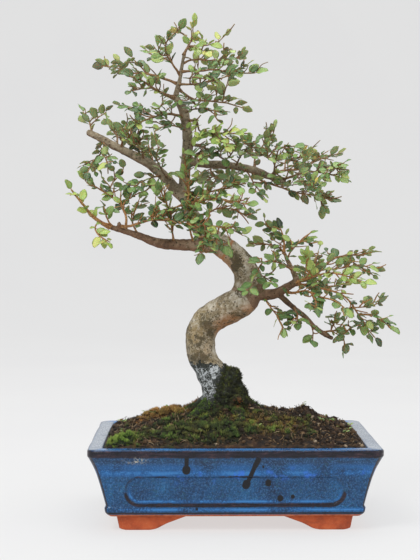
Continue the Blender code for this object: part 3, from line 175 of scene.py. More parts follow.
# Leafy sprays: node, then its shoots, each with
# name, parent, width at the start, width at the tip, depth of the tip, share of the way where leaves
# start, route
SPRAYS = {
    "spray_low_left_tip": [
        ("a", "low_left", 4.2, 1.6, -34, 0.2, [
            (-110, 258.5), (-117, 262), (-126, 268), (-137, 282), (-145, 292)]),
        ("b", "a", 1.6, 1.2, -42, 0.3, [(-119, 263.3), (-123.5, 259), (-122, 253), (-113, 245)]),
    ],
    "spray_low_left_rise": [
        ("a", "low_left", 2.6, 1.4, 4, 0.35, [
            (-96, 254.3), (-96, 268), (-101, 279), (-108, 285), (-123, 294.5)]),
        ("b", "a", 1.4, 1.2, 16, 0.2, [(-108, 285), (-110, 294), (-103, 304)]),
        ("c", "a", 1.6, 1.2, -6, 0.25, [(-98, 273), (-97, 281), (-85, 288.5), (-76, 292)]),
    ],
    "spray_low_left_leaf": [
        ("a", "low_left", 1.8, 1.2, -38, 0.4, [(-107, 257.7), (-113, 266), (-116, 277)]),
    ],
    "spray_low_left_back": [
        ("a", "low_left", 2.0, 1.2, 22, 0.3, [(-84, 250.5), (-90, 262), (-90, 273), (-82, 279)]),
    ],
    "spray_cross_low": [
        ("a", "low_left_stub", 2.6, 1.4, -42, 0.45, [
            (-101.6, 259), (-92, 259.5), (-75, 264.5), (-60, 264.5), (-40, 261), (-20, 259.5), (0, 256)]),
        ("b", "a", 1.4, 1.2, -28, 0.3, [(-75, 264.5), (-70, 268), (-66, 274)]),
        ("c", "a", 1.3, 1.0, -50, 0.2, [(-24, 260), (-25, 247), (-28, 235)]),
        ("d", "a", 1.3, 1.0, -34, 0.3, [(-12, 258.6), (-14, 248), (-8, 242)]),
    ],
    "spray_cross_high": [
        ("a", "low_left", 2.0, 1.4, -32, 0.55, [
            (-52, 243), (-55, 258), (-57, 273), (-60, 280), (-65, 291)]),
        ("b", "a", 1.6, 1.1, -18, 0.25, [
            (-57.5, 275), (-50, 276.5), (-35, 281), (-20, 290), (-9, 292), (3, 296)]),
        ("c", "b", 1.4, 1.1, -16, 0.35, [(-41, 279.5), (-41, 292), (-42, 314)]),
    ],
    "spray_cross_front": [
        ("a", "low_left", 2.0, 1.1, -66, 0.45, [
            (-34, 242), (-39, 262), (-35, 280), (-15, 283.5), (12, 279)]),
    ],
    "spray_cross_back": [
        ("a", "trunk", 2.2, 1.1, 30, 0.4, [(-36, 268), (-25, 270), (-14, 275), (2, 274), (12, 268)]),
    ],
    "spray_mid_left_up": [
        ("a", "mid_left", 2.0, 1.2, -4, 0.3, [(-100, 328), (-98, 342), (-96, 349), (-88, 354)]),
    ],
    "spray_mid_left_back": [
        ("a", "mid_left", 2.2, 1.2, 52, 0.3, [(-104, 330), (-104, 341), (-109, 348), (-113, 356)]),
        ("b", "a", 1.4, 1.1, 60, 0.3, [(-104, 339), (-95, 336), (-83, 334)]),
    ],
    "spray_mid_left_inner": [
        ("a", "mid_left", 2.0, 1.2, -14, 0.35, [(-80, 318), (-82, 331), (-86, 337), (-90, 346)]),
        ("b", "a", 1.3, 1.1, -26, 0.3, [(-83, 332), (-89, 334), (-95, 338)]),
    ],
    "spray_mid_left_root": [
        ("a", "mid_left", 2.0, 1.1, 44, 0.3, [(-70, 311.5), (-74, 324), (-70, 336)]),
    ],
    "spray_mid_left_under": [
        ("a", "mid_left", 1.8, 1.1, -6, 0.3, [(-115, 335.7), (-117, 326), (-126, 316), (-130, 308)]),
        ("b", "a", 1.2, 1.0, -18, 0.3, [(-118, 325), (-114, 320), (-112, 315)]),
    ],
    "spray_mid_left_tip": [
        ("a", "mid_left", 2.0, 1.1, 44, 0.25, [(-126, 341.5), (-128, 351), (-134, 361)]),
        ("b", "a", 1.3, 1.1, 30, 0.3, [(-127.5, 349), (-121, 356), (-114, 361)]),
    ],
    "spray_mid_left_hang": [
        ("a", "mid_left", 1.8, 1.1, -18, 0.35, [(-62, 304), (-70, 303.5), (-82, 299), (-89, 294)]),
    ],
    "spray_mid_left_front": [
        ("a", "mid_left", 1.8, 1.1, -30, 0.4, [(-58, 300), (-64, 310), (-69, 322), (-66, 330)]),
    ],
    "spray_upper_left": [
        ("a", "trunk", 3.0, 1.3, -32, 0.3, [(-43, 357), (-57, 359.5), (-70, 357), (-86, 351)]),
        ("b", "a", 1.6, 1.1, 12, 0.3, [(-71, 357), (-78, 360), (-90, 364.5), (-100, 366)]),
        ("c", "a", 1.3, 1.1, -36, 0.3, [(-62, 358.6), (-66, 364), (-62, 369)]),
    ],
    "spray_upper_left_low": [
        ("a", "trunk", 1.8, 1.1, -28, 0.35, [(-41.5, 346), (-50, 348.5), (-58, 349), (-66, 347)]),
    ],
    "spray_right_shoulder": [
        ("a", "trunk", 2.8, 1.2, -26, 0.35, [(-40.5, 333), (-30, 331), (-17, 325), (-6, 319.5), (3, 331)]),
        ("b", "a", 1.3, 1.1, -36, 0.2, [(-27, 329.5), (-32, 322), (-30, 316)]),
    ],
    "spray_right_bright": [
        ("a", "trunk", 2.0, 1.1, -44, 0.3, [(-41.5, 354), (-33, 353), (-29, 344), (-15, 340), (-6, 330)]),
        ("b", "a", 1.2, 1.0, -34, 0.3, [(-22, 342), (-12, 343), (1, 342)]),
    ],
    "spray_right_drop": [
        ("a", "mid_right", 1.8, 1.1, -20, 0.35, [(10, 311.5), (16, 303), (19, 297), (24, 291)]),
    ],
    "spray_right_rise": [
        ("a", "mid_right", 2.2, 1.2, 36, 0.3, [(20, 309), (20, 321), (26, 330), (34, 344)]),
        ("b", "a", 1.3, 1.1, 46, 0.3, [(20, 321), (16, 329), (10, 336)]),
    ],
    "spray_right_collar": [
        ("a", "mid_right", 2.0, 1.1, -18, 0.3, [(36, 302.8), (38, 316), (42, 329), (55, 331)]),
        ("b", "a", 1.3, 1.1, -28, 0.3, [(38, 316), (32, 321), (31, 328)]),
    ],
    "spray_right_far": [
        ("a", "mid_right", 2.8, 1.2, 40, 0.25, [(33, 303.9), (45, 309), (60, 310.5), (78, 319), (94, 324)]),
        ("b", "a", 1.5, 1.1, 56, 0.3, [(46, 309), (48, 319), (62, 321), (70, 328)]),
    ],
    "spray_right_low": [
        ("a", "mid_right", 2.6, 1.2, -32, 0.25, [
            (42, 300.5), (56, 304.5), (67, 308), (82, 307), (96, 303)]),
        ("b", "a", 1.4, 1.1, -48, 0.3, [(74, 307.6), (83, 312), (97, 313)]),
        ("c", "a", 1.4, 1.1, -46, 0.25, [(58, 305), (62, 298), (75, 293)]),
    ],
    "spray_right_under": [
        ("a", "mid_right", 2.2, 1.1, 2, 0.4, [
            (14, 310.6), (26, 300), (38, 296), (58, 289), (75, 287), (88, 282)]),
        ("b", "a", 1.3, 1.1, 14, 0.3, [(70, 287.6), (78, 284), (80, 275)]),
    ],
    "spray_right_front": [
        ("a", "mid_right", 1.8, 1.1, -34, 0.3, [(2, 312.5), (6, 320), (12, 328), (20, 335)]),
    ],
    "spray_right_behind": [
        ("a", "mid_right", 2.0, 1.1, 46, 0.3, [(-20, 315), (-19, 306), (-10, 301), (2, 300)]),
        ("b", "a", 1.2, 1.0, 58, 0.2, [(-17, 304), (-24, 300), (-30, 304)]),
    ],
    "spray_low_right_in": [
        ("a", "low_right_up", 1.8, 1.1, 22, 0.3, [(47, 233.7), (40, 241), (30, 243), (20, 242)]),
    ],
    "spray_low_right_out": [
        ("a", "low_right_up", 1.8, 1.1, -32, 0.25, [(49, 229), (53, 238), (60, 244.5), (67, 246)]),
    ],
    "spray_low_right_top": [
        ("a", "low_right_up", 2.4, 1.1, -4, 0.25, [(46, 236), (46, 246), (43, 257)]),
        ("b", "a", 1.2, 1.0, 8, 0.3, [(46, 245), (38, 252), (35, 257)]),
    ],
    "spray_low_right_front": [
        ("a", "low_right_up", 1.8, 1.1, -40, 0.25, [(54, 219), (45, 225), (34, 228), (22, 226)]),
    ],
    "spray_low_right_reach": [
        ("a", "low_right", 2.6, 1.2, -40, 0.3, [
            (44, 201.4), (54, 199), (66, 201), (80, 195), (92, 192), (101, 185)]),
        ("b", "a", 1.2, 1.0, -50, 0.3, [(72, 198.5), (75, 190), (74, 183)]),
    ],
    "spray_low_right_bead": [
        ("a", "low_right_down", 1.6, 1.1, -22, 0.25, [(68, 174.6), (72, 166), (72, 156)]),
    ],
    "spray_low_right_end": [
        ("a", "low_right_down", 1.8, 1.1, 24, 0.3, [(80, 163.6), (92, 165), (99, 161), (101, 153)]),
        ("b", "a", 1.3, 1.1, 34, 0.3, [(88, 164.5), (91, 171), (92, 178)]),
    ],
    "spray_low_right_crown": [
        ("a", "low_right", 3.6, 1.3, 22, 0.3, [
            (55, 207.9), (66, 212), (75, 217), (90, 229.5), (103, 233), (118, 233)]),
        ("b", "a", 1.6, 1.1, 4, 0.3, [(79, 220.3), (95, 221), (112, 224), (127, 221)]),
        ("c", "a", 1.3, 1.1, 34, 0.2, [(76, 218), (74, 227), (77, 236)]),
    ],
    "spray_low_right_lime": [
        ("a", "low_right", 2.4, 1.1, -46, 0.4, [(54, 207.2), (68, 212), (86, 217), (104, 214), (118, 209)]),
        ("b", "a", 1.3, 1.1, -36, 0.3, [(72, 213.2), (66, 221), (68, 230)]),
    ],
    "spray_low_right_back": [
        ("a", "low_right", 2.6, 1.2, 52, 0.3, [(50, 205), (64, 207), (90, 205), (104, 209), (114, 216)]),
        ("b", "a", 1.3, 1.1, 60, 0.3, [(74, 206.2), (68, 214), (60, 218)]),
    ],
    "spray_low_right_fall": [
        ("a", "low_right", 2.4, 1.2, 8, 0.35, [
            (56, 208.3), (74, 204), (93, 200), (105, 192), (113, 180), (122, 166), (128, 159)]),
        ("b", "a", 1.3, 1.1, 26, 0.3, [(109, 186), (118, 186.5), (133, 190)]),
        ("c", "a", 1.3, 1.1, -10, 0.3, [(113, 180), (127, 178), (143, 168)]),
        ("d", "a", 1.3, 1.1, -6, 0.3, [(118.5, 171.5), (108, 168), (100, 162)]),
    ],
    "spray_low_right_hang": [
        ("a", "low_right", 1.6, 1.0, -30, 0.2, [(28, 197.6), (32, 189), (39, 180), (45, 167)]),
    ],
    "spray_low_right_tuft": [
        ("a", "low_right_down", 1.5, 1.1, -28, 0.3, [(54, 186.7), (58, 181), (58, 172)]),
    ],
    "spray_bend_front": [
        ("a", "trunk", 1.8, 1.1, -40, 0.35, [(11, 220), (20, 218), (29, 213), (36, 208)]),
        ("b", "a", 1.2, 1.0, -48, 0.2, [(25, 215.2), (19, 208), (13, 201)]),
    ],
    "spray_crown_left_low": [
        ("a", "trunk", 3.8, 1.3, -22, 0.25, [
            (-50.5, 374), (-60, 376.5), (-71, 382), (-80, 388.5), (-92, 393)]),
        ("b", "a", 1.3, 1.1, -36, 0.3, [(-72, 382.8), (-81, 382), (-92, 380)]),
        ("c", "a", 1.4, 1.1, -28, 0.9, [(-65, 379), (-69, 384), (-67, 392)]),
    ],
    "spray_crown_left": [
        ("a", "trunk", 2.8, 1.2, 30, 0.25, [
            (-49, 386), (-60, 390.5), (-75, 395), (-90, 396), (-102, 400), (-116, 402.5)]),
        ("b", "a", 1.4, 1.1, 14, 0.3, [(-76, 395), (-82, 401), (-90, 409)]),
    ],
    "spray_crown_left_high": [
        ("a", "trunk", 2.2, 1.1, -18, 0.3, [(-46.5, 394), (-54, 404), (-60, 414), (-59, 424), (-48, 435)]),
        ("b", "a", 1.4, 1.1, 6, 0.25, [(-55, 405.7), (-64, 410.5), (-75, 413)]),
        ("c", "a", 1.2, 1.0, -28, 0.3, [(-58, 411), (-65, 413), (-67, 420)]),
    ],
    "spray_crown_top": [
        ("a", "trunk", 2.6, 1.1, 6, 0.25, [(-44, 412), (-40, 420), (-36, 427), (-35.5, 433.5)]),
        ("b", "a", 1.4, 1.1, 18, 0.3, [(-39, 422), (-42, 429), (-48, 432)]),
        ("c", "a", 1.4, 1.1, 20, 0.25, [(-40, 420), (-24, 421), (-15, 423), (-7, 430)]),
        ("d", "a", 1.2, 1.0, -14, 0.3, [(-39.6, 420.6), (-32, 418), (-24, 415)]),
    ],
    "spray_crown_right_high": [
        ("a", "trunk", 2.0, 1.1, 30, 0.3, [(-45.5, 404), (-36, 408), (-22, 407.5), (6, 409)]),
    ],
    "spray_crown_right": [
        ("a", "trunk", 2.4, 1.1, -26, 0.3, [(-46.3, 397), (-30, 398), (-15, 399), (0, 396), (20, 396.5)]),
        ("b", "a", 1.2, 1.0, -32, 0.3, [(-15, 399), (-9, 403), (-8, 412)]),
    ],
    "spray_crown_right_low": [
        ("a", "trunk", 2.2, 1.1, -42, 0.3, [(-48.6, 386), (-36, 386), (-22, 388.5), (-2, 394)]),
        ("b", "a", 1.2, 1.0, -34, 0.3, [(-38, 386), (-38, 392), (-33, 397)]),
    ],
    "spray_crown_right_back": [
        ("a", "trunk", 2.6, 1.1, 26, 0.35, [(-49, 383), (-36, 373), (-20, 371), (-6, 369.5), (8, 365)]),
        ("b", "a", 1.3, 1.1, 40, 0.3, [(-14, 370.6), (-15, 379), (-18, 388)]),
        ("c", "a", 1.3, 1.1, 18, 0.3, [(-9, 370), (-7, 380), (-4, 391)]),
        ("d", "a", 1.3, 1.1, 8, 0.3, [(-30, 372), (-29, 384), (-32, 404)]),
    ],
    "spray_crown_right_front": [
        ("a", "trunk", 1.8, 1.1, -30, 0.3, [(-43.5, 361), (-34, 364), (-24, 364), (-14, 362)]),
        ("b", "a", 1.2, 1.0, -34, 0.3, [(-33, 364), (-35, 371), (-42, 374)]),
    ],
}
LIME_NODES = ("spray_low_left_tip", "spray_right_bright", "spray_low_right_lime", "spray_crown_top")

# Leaves, in millimetres and degrees
LEAF_SPACING = 10.8
LEAF_SPACING_SPREAD = (0.75, 1.25)
LEAF_TIP_ROOM = 3.0
LEAF_LENGTH = (10.0, 14.0)
LEAF_WIDTH_SHARE = (0.54, 0.66)
LEAF_KEEL = 0.9
# Share of the length, half width as a share of the width, keel and bend of a blade's two sections
LEAF_SECTIONS = ((0.42, 0.50, 1.0, 0.05), (0.76, 0.37, 0.9, 0.04))
LEAF_SINK = 0.1
LEAF_ANGLE = (38.0, 66.0)
LEAF_TRIES = 7
LEAF_CLEARANCE = 0.5
LEAF_ROOT_ROOM = 2.5
SEED = 11


def spot_behind(x, z, depth):
    """The point seen at (x, z) on the trunk's plane that lies at a depth behind it, in millimetres."""
    scale = 1 + depth / -EYE.y
    return Vector((EYE.x + (x - EYE.x) * scale, depth, EYE.z + (z - EYE.z) * scale))


def path_length(points):
    return sum((b - a).length for a, b in zip(points, points[1:]))


def point_along(points, distance):
    """Point, direction and segment number at a distance along a path."""
    for index, (a, b) in enumerate(zip(points, points[1:])):
        step = (b - a).length
        if distance <= step or index == len(points) - 2:
            return a + (b - a) * min(distance / step, 1.0), (b - a).normalized(), index
        distance -= step
    return points[-1], (points[-1] - points[-2]).normalized(), len(points) - 2


class Limb:
    """One stem: its centre line in millimetres, its radii and the node that it belongs to."""

    def __init__(self, name, node, points, radii):
        self.name = name
        self.node = node
        self.points = points
        self.radii = radii

    def nearest(self, target):
        """The centre-line point that is seen nearest to a point of the trunk's plane."""
        best = None
        for a, b in zip(self.points, self.points[1:]):
            for step in range(9):
                share = step / 8
                spot = a.lerp(b, share)
                scale = 1 + spot.y / -EYE.y
                seen = (EYE.x + (spot.x - EYE.x) / scale, EYE.z + (spot.z - EYE.z) / scale)
                away = math.hypot(seen[0] - target[0], seen[1] - target[1])
                if best is None or away < best[0] - 1e-9:
                    best = (away, spot)
        return best[1]

    def clearance(self, spot):
        """How far a point lies outside the limb's round sections."""
        best = None
        for index, (a, b) in enumerate(zip(self.points, self.points[1:])):
            run = b - a
            share = min(max((spot - a).dot(run) / run.length_squared, 0.0), 1.0)
            radius = self.radii[index] + (self.radii[index + 1] - self.radii[index]) * share
            away = (spot - a.lerp(b, share)).length - radius
            if best is None or away < best:
                best = away
        return best


def grow_trunk():
    points = [spot_behind(x, z, depth) for x, z, _, depth in TRUNK]
    radii = [width / 2 for _, _, width, _ in TRUNK]
    return Limb("trunk", "tree_wood", points, radii)


def grow_limb(name, node, parent, width, tip_width, tip_depth, route):
    """Grow a limb from its parent's centre line along a route, with the depth changing evenly on the way."""
    root = parent.nearest(route[0])
    flat = [(0.0, route[0])]
    for before, after in zip(route, route[1:]):
        flat.append((flat[-1][0] + math.hypot(after[0] - before[0], after[1] - before[1]), after))
    total = flat[-1][0]
    points = [root]
    radii = [width / 2]
    for distance, (x, z) in flat[1:]:
        share = distance / total
        points.append(spot_behind(x, z, root.y + (tip_depth * DEPTH_SCALE - root.y) * share))
        radii.append((width + (tip_width - width) * share) / 2)
    return Limb(name, node, points, radii)


def split_limb(limb, mother):
    """Cut a limb into a short collar that stays on its mother and the shoot that stands 0.3 mm off it."""
    total = path_length(limb.points)
    cut = COLLAR_LENGTH
    while cut < total - COLLAR_LENGTH:
        spot, _, _ = point_along(limb.points, cut)
        if mother.clearance(spot) > COLLAR_LENGTH:
            break
        cut += COLLAR_STEP
    walked = 0.0
    for a, b in zip(limb.points, limb.points[1:]):
        walked += (b - a).length
        if walked - CUT_FROM_BEND < cut < walked + CUT_FROM_BEND:
            cut = walked + CUT_FROM_BEND
    spot, direction, index = point_along(limb.points, cut)
    start = spot + direction * (GAP / MM)
    radius = limb.radii[0] + (limb.radii[-1] - limb.radii[0]) * cut / total
    below = index + 1
    collar = Limb(limb.name + "_collar", "", limb.points[:below] + [spot], limb.radii[:below] + [radius])
    shoot = Limb(limb.name, limb.node, [start] + limb.points[below:], [radius] + limb.radii[below:])
    return collar, shoot


def grow_tree():
    """Limbs by node, leafy shoots with the share where leaves start, and each shoot before it is split."""
    trunk = grow_trunk()
    limbs = {"trunk": trunk}
    nodes = {"tree_wood": [trunk]}
    leafy = []
    whole = []
    for name, parent, width, tip_width, tip_depth, route in WOOD:
        limb = grow_limb(name, "tree_wood", limbs[parent], width, tip_width, tip_depth, route)
        limbs[name] = limb
        nodes["tree_wood"].append(limb)
    for node, shoots in SPRAYS.items():
        nodes[node] = []
        own = {}
        for name, parent, width, tip_width, tip_depth, leaf_start, route in shoots:
            mother = own.get(parent) or limbs[parent]
            limb = grow_limb(node + "_" + name, node, mother, width, tip_width, tip_depth, route)
            whole.append((limb, leaf_start, mother))
            if parent not in own:
                collar, limb = split_limb(limb, mother)
                nodes["tree_wood"].append(collar)
            own[name] = limb
            nodes[node].append(limb)
            leafy.append((node, limb, leaf_start))
    return nodes, leafy, whole


def mound(x, y):
    """Height of the soil's top at a spot, in metres."""
    along = 1 - min(abs(x) / MOUND_HALF_LENGTH, 1.0) ** 2.6
    across = 1 - min(abs(y) / MOUND_HALF_WIDTH, 1.0) ** 2.2
    from_trunk = math.hypot(x - TRUNK_X, y)
    rise = TRUNK_RISE * math.exp(-((from_trunk / TRUNK_RISE_RADIUS) ** 2))
    hump_height, hump_x, reach_x, reach_y = HUMP
    hump = hump_height * math.exp(-(((x - hump_x) / reach_x) ** 2) - ((y / reach_y) ** 2))
    rough = SOIL_ROUGHNESS * noise(Vector((x * 55, y * 55, 2.0))) * min(along * across * 4, 1.0)
    return POT_HEIGHT - 0.0012 + MOUND_HEIGHT * along * across + rise + hump + rough


def leaf_rings(base, along, up, length, width):
    """The two sections of a keeled blade, at its widest part and its shoulder, and its two ends."""
    side = along.cross(up).normalized()
    up = side.cross(along).normalized()
    rings = []
    for share, half_share, keel_share, bend in LEAF_SECTIONS:
        middle = base + along * length * share + up * bend * length
        edge = up * LEAF_KEEL * keel_share * 0.4
        keel = up * LEAF_KEEL * keel_share * 0.6
        half = side * width * half_share
        rings.append([middle + half + edge, middle - half + edge, middle - keel])
    return base - along * LEAF_SINK, rings, base + along * length


def leaf_faces(root, rings, tip):
    """Corner points and triangles of one leaf."""
    points = [root] + [point for ring in rings for point in ring] + [tip]
    faces = []
    for index in range(3):
        following = (index + 1) % 3
        a, b, c, d = 1 + index, 1 + following, 4 + index, 4 + following
        faces.append((0, b, a))
        faces.append((a, b, d))
        faces.append((a, d, c))
        faces.append((c, d, 7))
    return points, faces


def fat_leaf(base, along, up, length, width):
    """A leaf with its clearance round it, without its stem end, to test against what stands near."""
    root, rings, tip = leaf_rings(base, along, up, length + LEAF_CLEARANCE, width + 2 * LEAF_CLEARANCE)
    lift = up * LEAF_CLEARANCE
    grown = [[ring[0] + lift, ring[1] + lift, ring[2] - lift] for ring in rings]
    return leaf_faces(root + along * LEAF_ROOT_ROOM, grown, tip)


class Crowd:
    """What leaves must keep clear of, by node, as search trees in millimetres."""

    def __init__(self):
        self.points = {}
        self.faces = {}
        self.trees = {}

    def add(self, node, points, faces):
        held = self.points.setdefault(node, [])
        offset = len(held)
        held.extend(points)
        self.faces.setdefault(node, []).extend([tuple(i + offset for i in face) for face in faces])
        self.trees[node] = BVHTree.FromPolygons(held, self.faces[node])

    def hit(self, points, faces, skip=()):
        tree = BVHTree.FromPolygons(points, faces)
        return any(tree.overlap(other) for node, other in self.trees.items() if node not in skip)


def leaf_sites(limb, leaf_start, draw):
    """Places along a shoot where leaves stand, on alternate sides, with one at the tip."""
    total = path_length(limb.points)
    distance = total * leaf_start + draw.uniform(0, 2.0)
    side = draw.choice((-1, 1))
    sites = []
    while distance < total - LEAF_TIP_ROOM:
        sites.append((distance, side))
        side = -side
        distance += LEAF_SPACING * draw.uniform(*LEAF_SPACING_SPREAD)
    sites.append((total - 0.6, 0))
    return sites


def leaf_pose(limb, distance, side, draw):
    """Base, direction, upper side, length and width of one leaf."""
    spot, direction, _ = point_along(limb.points, distance)
    front = -1 if spot.y < draw.uniform(-10, 30) else 1
    face = Vector((draw.uniform(-0.45, 0.45), front * draw.uniform(0.25, 1.0), draw.uniform(0.35, 1.0)))
    face.normalize()
    across = direction.cross(face).normalized()
    if side:
        angle = math.radians(draw.uniform(*LEAF_ANGLE))
        along = direction * math.cos(angle) + across * side * math.sin(angle)
    else:
        along = direction + across * draw.uniform(-0.3, 0.3)
    along = (along + Vector((0, 0, draw.uniform(-0.25, 0.2)))).normalized()
    up = (face - along * face.dot(along)).normalized()
    length = draw.uniform(*LEAF_LENGTH)
    width = length * draw.uniform(*LEAF_WIDTH_SHARE)
    return spot, along, up, length, width


def place_leaves(leafy, crowd):
    """Leaves by node. A leaf that would touch another node is turned, or left out when no turn helps."""
    leaves = {}
    for number, (node, limb, leaf_start) in enumerate(leafy):
        draw = random.Random(SEED * 1000 + number)
        for distance, side in leaf_sites(limb, leaf_start, draw):
            for _ in range(LEAF_TRIES):
                pose = leaf_pose(limb, distance, side, draw)
                points, faces = fat_leaf(*pose)
                if not crowd.hit(points, faces, skip=(node + "_stems",)):
                    leaves.setdefault(node, []).append(pose)
                    crowd.add(node + "_leaves", *leaf_faces(*leaf_rings(*pose)))
                    break
    return leaves


def mesh_from_curve(holder, collection):
    """Replace a curve object by its closed mesh in world space."""
    bpy.context.view_layer.update()
    graph = bpy.context.evaluated_depsgraph_get()
    mesh = bpy.data.meshes.new_from_object(holder.evaluated_get(graph))
    bm = bmesh.new()
    bm.from_mesh(mesh)
    bmesh.ops.remove_doubles(bm, verts=bm.verts, dist=1e-6)
    bmesh.ops.transform(bm, matrix=holder.matrix_world, verts=bm.verts)
    bm.to_mesh(mesh)
    bm.free()
    item = bpy.data.objects.new(holder.name + "_mesh", mesh)
    collection.objects.link(item)
    bpy.data.objects.remove(holder, do_unlink=True)
    return item


def limb_mesh(limb, collection):
    """A limb as a bevelled curve that is turned into a closed mesh, with more sides the thicker it is."""
    curve = bpy.data.curves.new(limb.name, "CURVE")
    curve.dimensions = "3D"
    curve.bevel_depth = MM
    curve.bevel_resolution = 0
    for width, resolution in BEVEL_STEPS:
        if 2 * limb.radii[0] > width:
            curve.bevel_resolution = resolution
    curve.use_fill_caps = True
    spline = curve.splines.new("POLY")
    spline.points.add(len(limb.points) - 1)
    for point, spot, radius in zip(spline.points, limb.points, limb.radii):
        point.co = (*(spot * MM), 1)
        point.radius = radius
    holder = bpy.data.objects.new(limb.name, curve)
    collection.objects.link(holder)
    return mesh_from_curve(holder, collection)


def measure_crowd(nodes, workshop):
    """Fill the crowd with every limb as it will be built."""
    crowd = Crowd()
    for node, limbs in nodes.items():
        points = []
        faces = []
        for limb in limbs:
            item = limb_mesh(limb, workshop)
            offset = len(points)
            points.extend([vert.co / MM for vert in item.data.vertices])
            faces.extend([tuple(i + offset for i in face.vertices) for face in item.data.polygons])
            bpy.data.objects.remove(item, do_unlink=True)
        crowd.add(node + "_stems", points, faces)
    return crowd


class Noise:
    """Smooth gradient noise on arrays of points."""

    def __init__(self, seed):
        draw = np.random.default_rng(seed)
        self.table = draw.permutation(256)
        slopes = draw.normal(size=(256, 3))
        self.slopes = slopes / np.linalg.norm(slopes, axis=1)[:, None]

    def __call__(self, points):
        cell = np.floor(points).astype(int)
        part = points - cell
        fade = part ** 3 * (part * (part * 6 - 15) + 10)
        total = np.zeros(len(points))
        for corner in (
                (0, 0, 0), (1, 0, 0), (0, 1, 0), (1, 1, 0), (0, 0, 1), (1, 0, 1), (0, 1, 1), (1, 1, 1)):
            at = (cell + corner) & 255
            row = self.table[(self.table[(self.table[at[:, 0]] + at[:, 1]) & 255] + at[:, 2]) & 255]
            weight = np.prod(np.where(np.array(corner) == 1, fade, 1 - fade), axis=1)
            total += weight * np.sum(self.slopes[row] * (part - corner), axis=1)
        return total * 1.7

    def layers(self, points, count, gain=0.5):
        total = np.zeros(len(points))
        size = 1.0
        for layer in range(count):
            total += size * self(points * 2 ** layer + layer * 17.3)
            size *= gain
        return total


ROUGH = Noise(5)


def smoothstep(low, high, value):
    share = np.clip((value - low) / (high - low), 0, 1)
    return share * share * (3 - 2 * share)


def paint(item, name, values):
    """Keep one number for each vertex under a name that the materials read."""
    layer = item.data.attributes.new(name, "FLOAT", "POINT")
    layer.data.foreach_set("value", np.asarray(values, np.float32))


def make_piece(name, points, faces, materials, replaced=(), slot=None):
    """One shown piece from points in metres. A face may name its material by number in materials."""
    mesh = bpy.data.meshes.new(name)
    mesh.from_pydata([tuple(point) for point in points], [], faces)
    mesh.validate()
    item = bpy.data.objects.new(name, mesh)
    bpy.context.scene.collection.objects.link(item)
    for material in materials:
        mesh.materials.append(material)
    mesh.shade_smooth()
    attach(item, "root")
    if replaced:
        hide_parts(*replaced)
    return item


def vertex_array(mesh):
    flat = np.empty(len(mesh.vertices) * 3)
    mesh.vertices.foreach_get("co", flat)
    return flat.reshape(-1, 3)


def normal_array(mesh):
    flat = np.empty(len(mesh.vertices) * 3)
    mesh.vertex_normals.foreach_get("vector", flat)
    return flat.reshape(-1, 3)


def move_vertices(mesh, points):
    mesh.vertices.foreach_set("co", points.ravel())
    mesh.update()


class Heap:
    """Points, faces and per-point numbers of many small closed forms that become one piece."""

    def __init__(self, *names):
        self.points = []
        self.faces = []
        self.kinds = []
        self.values = {name: [] for name in names}

    def add(self, points, faces, kind=0, **values):
        offset = len(self.points)
        self.points.extend(points)
        self.faces.extend([tuple(index + offset for index in face) for face in faces])
        self.kinds.extend([kind] * len(faces))
        for name, held in self.values.items():
            value = values.get(name, 0.0)
            held.extend(value if hasattr(value, "__len__") else [value] * len(points))

    def piece(self, name, materials, **options):
        points = np.array([tuple(point) for point in self.points]) * MM
        item = make_piece(name, points, self.faces, materials, **options)
        if len(materials) > 1:
            item.data.polygons.foreach_set("material_index", self.kinds)
        for key, held in self.values.items():
            paint(item, key, held)
        return item


def smooth_path(points, radii, step):
    """A rounder path through the same points, with a point about every step."""
    count = len(points)
    fine = []
    fine_radii = []
    for index in range(count - 1):
        a = points[max(index - 1, 0)]
        b = points[index]
        c = points[index + 1]
        d = points[min(index + 2, count - 1)]
        pieces = max(1, round((c - b).length / step))
        ease = min(1.0, (c - b).length / max((b - a).length, 1e-6)) * 0.5
        leave = min(1.0, (c - b).length / max((d - c).length, 1e-6)) * 0.5
        start_slope = (c - a) * ease
        end_slope = (d - b) * leave
        for piece in range(pieces):
            t = piece / pieces
            h1 = 2 * t ** 3 - 3 * t ** 2 + 1
            h2 = t ** 3 - 2 * t ** 2 + t
            h3 = -2 * t ** 3 + 3 * t ** 2
            h4 = t ** 3 - t ** 2
            fine.append(b * h1 + start_slope * h2 + c * h3 + end_slope * h4)
            fine_radii.append(radii[index] + (radii[index + 1] - radii[index]) * t)
    fine.append(points[-1])
    fine_radii.append(radii[-1])
    return fine, fine_radii


def ring_faces(rings, around):
    """Four-sided faces between rings of points that follow one another."""
    faces = []
    for ring in range(rings - 1):
        a = ring * around
        for step in range(around):
            b = (step + 1) % around
            faces.append((a + step, a + b, a + around + b, a + around + step))
    return faces


def closed_faces(rings, around):
    """Faces between rings of points, with a flat face at each end."""
    faces = ring_faces(rings, around)
    faces.append(tuple(range(around - 1, -1, -1)))
    faces.append(tuple((rings - 1) * around + step for step in range(around)))
    return faces


def tube(points, radii, sides, dome=0.5):
    """Points and faces of a closed round tube along a path, with domed ends."""
    directions = []
    for index in range(len(points)):
        before = points[max(index - 1, 0)]
        after = points[min(index + 1, len(points) - 1)]
        directions.append((after - before).normalized())
    side = directions[0].orthogonal().normalized()
    corners = []
    for point, radius, direction in zip(points, radii, directions):
        side = (side - direction * side.dot(direction)).normalized()
        other = direction.cross(side)
        for step in range(sides):
            angle = 2 * math.pi * step / sides
            corners.append(point + (side * math.cos(angle) + other * math.sin(angle)) * radius)
    faces = ring_faces(len(points), sides)
    start = len(corners)
    corners.append(points[0] - directions[0] * radii[0] * dome)
    corners.append(points[-1] + directions[-1] * radii[-1] * dome)
    last = (len(points) - 1) * sides
    for step in range(sides):
        following = (step + 1) % sides
        faces.append((start, following, step))
        faces.append((start + 1, last + step, last + following))
    return corners, faces


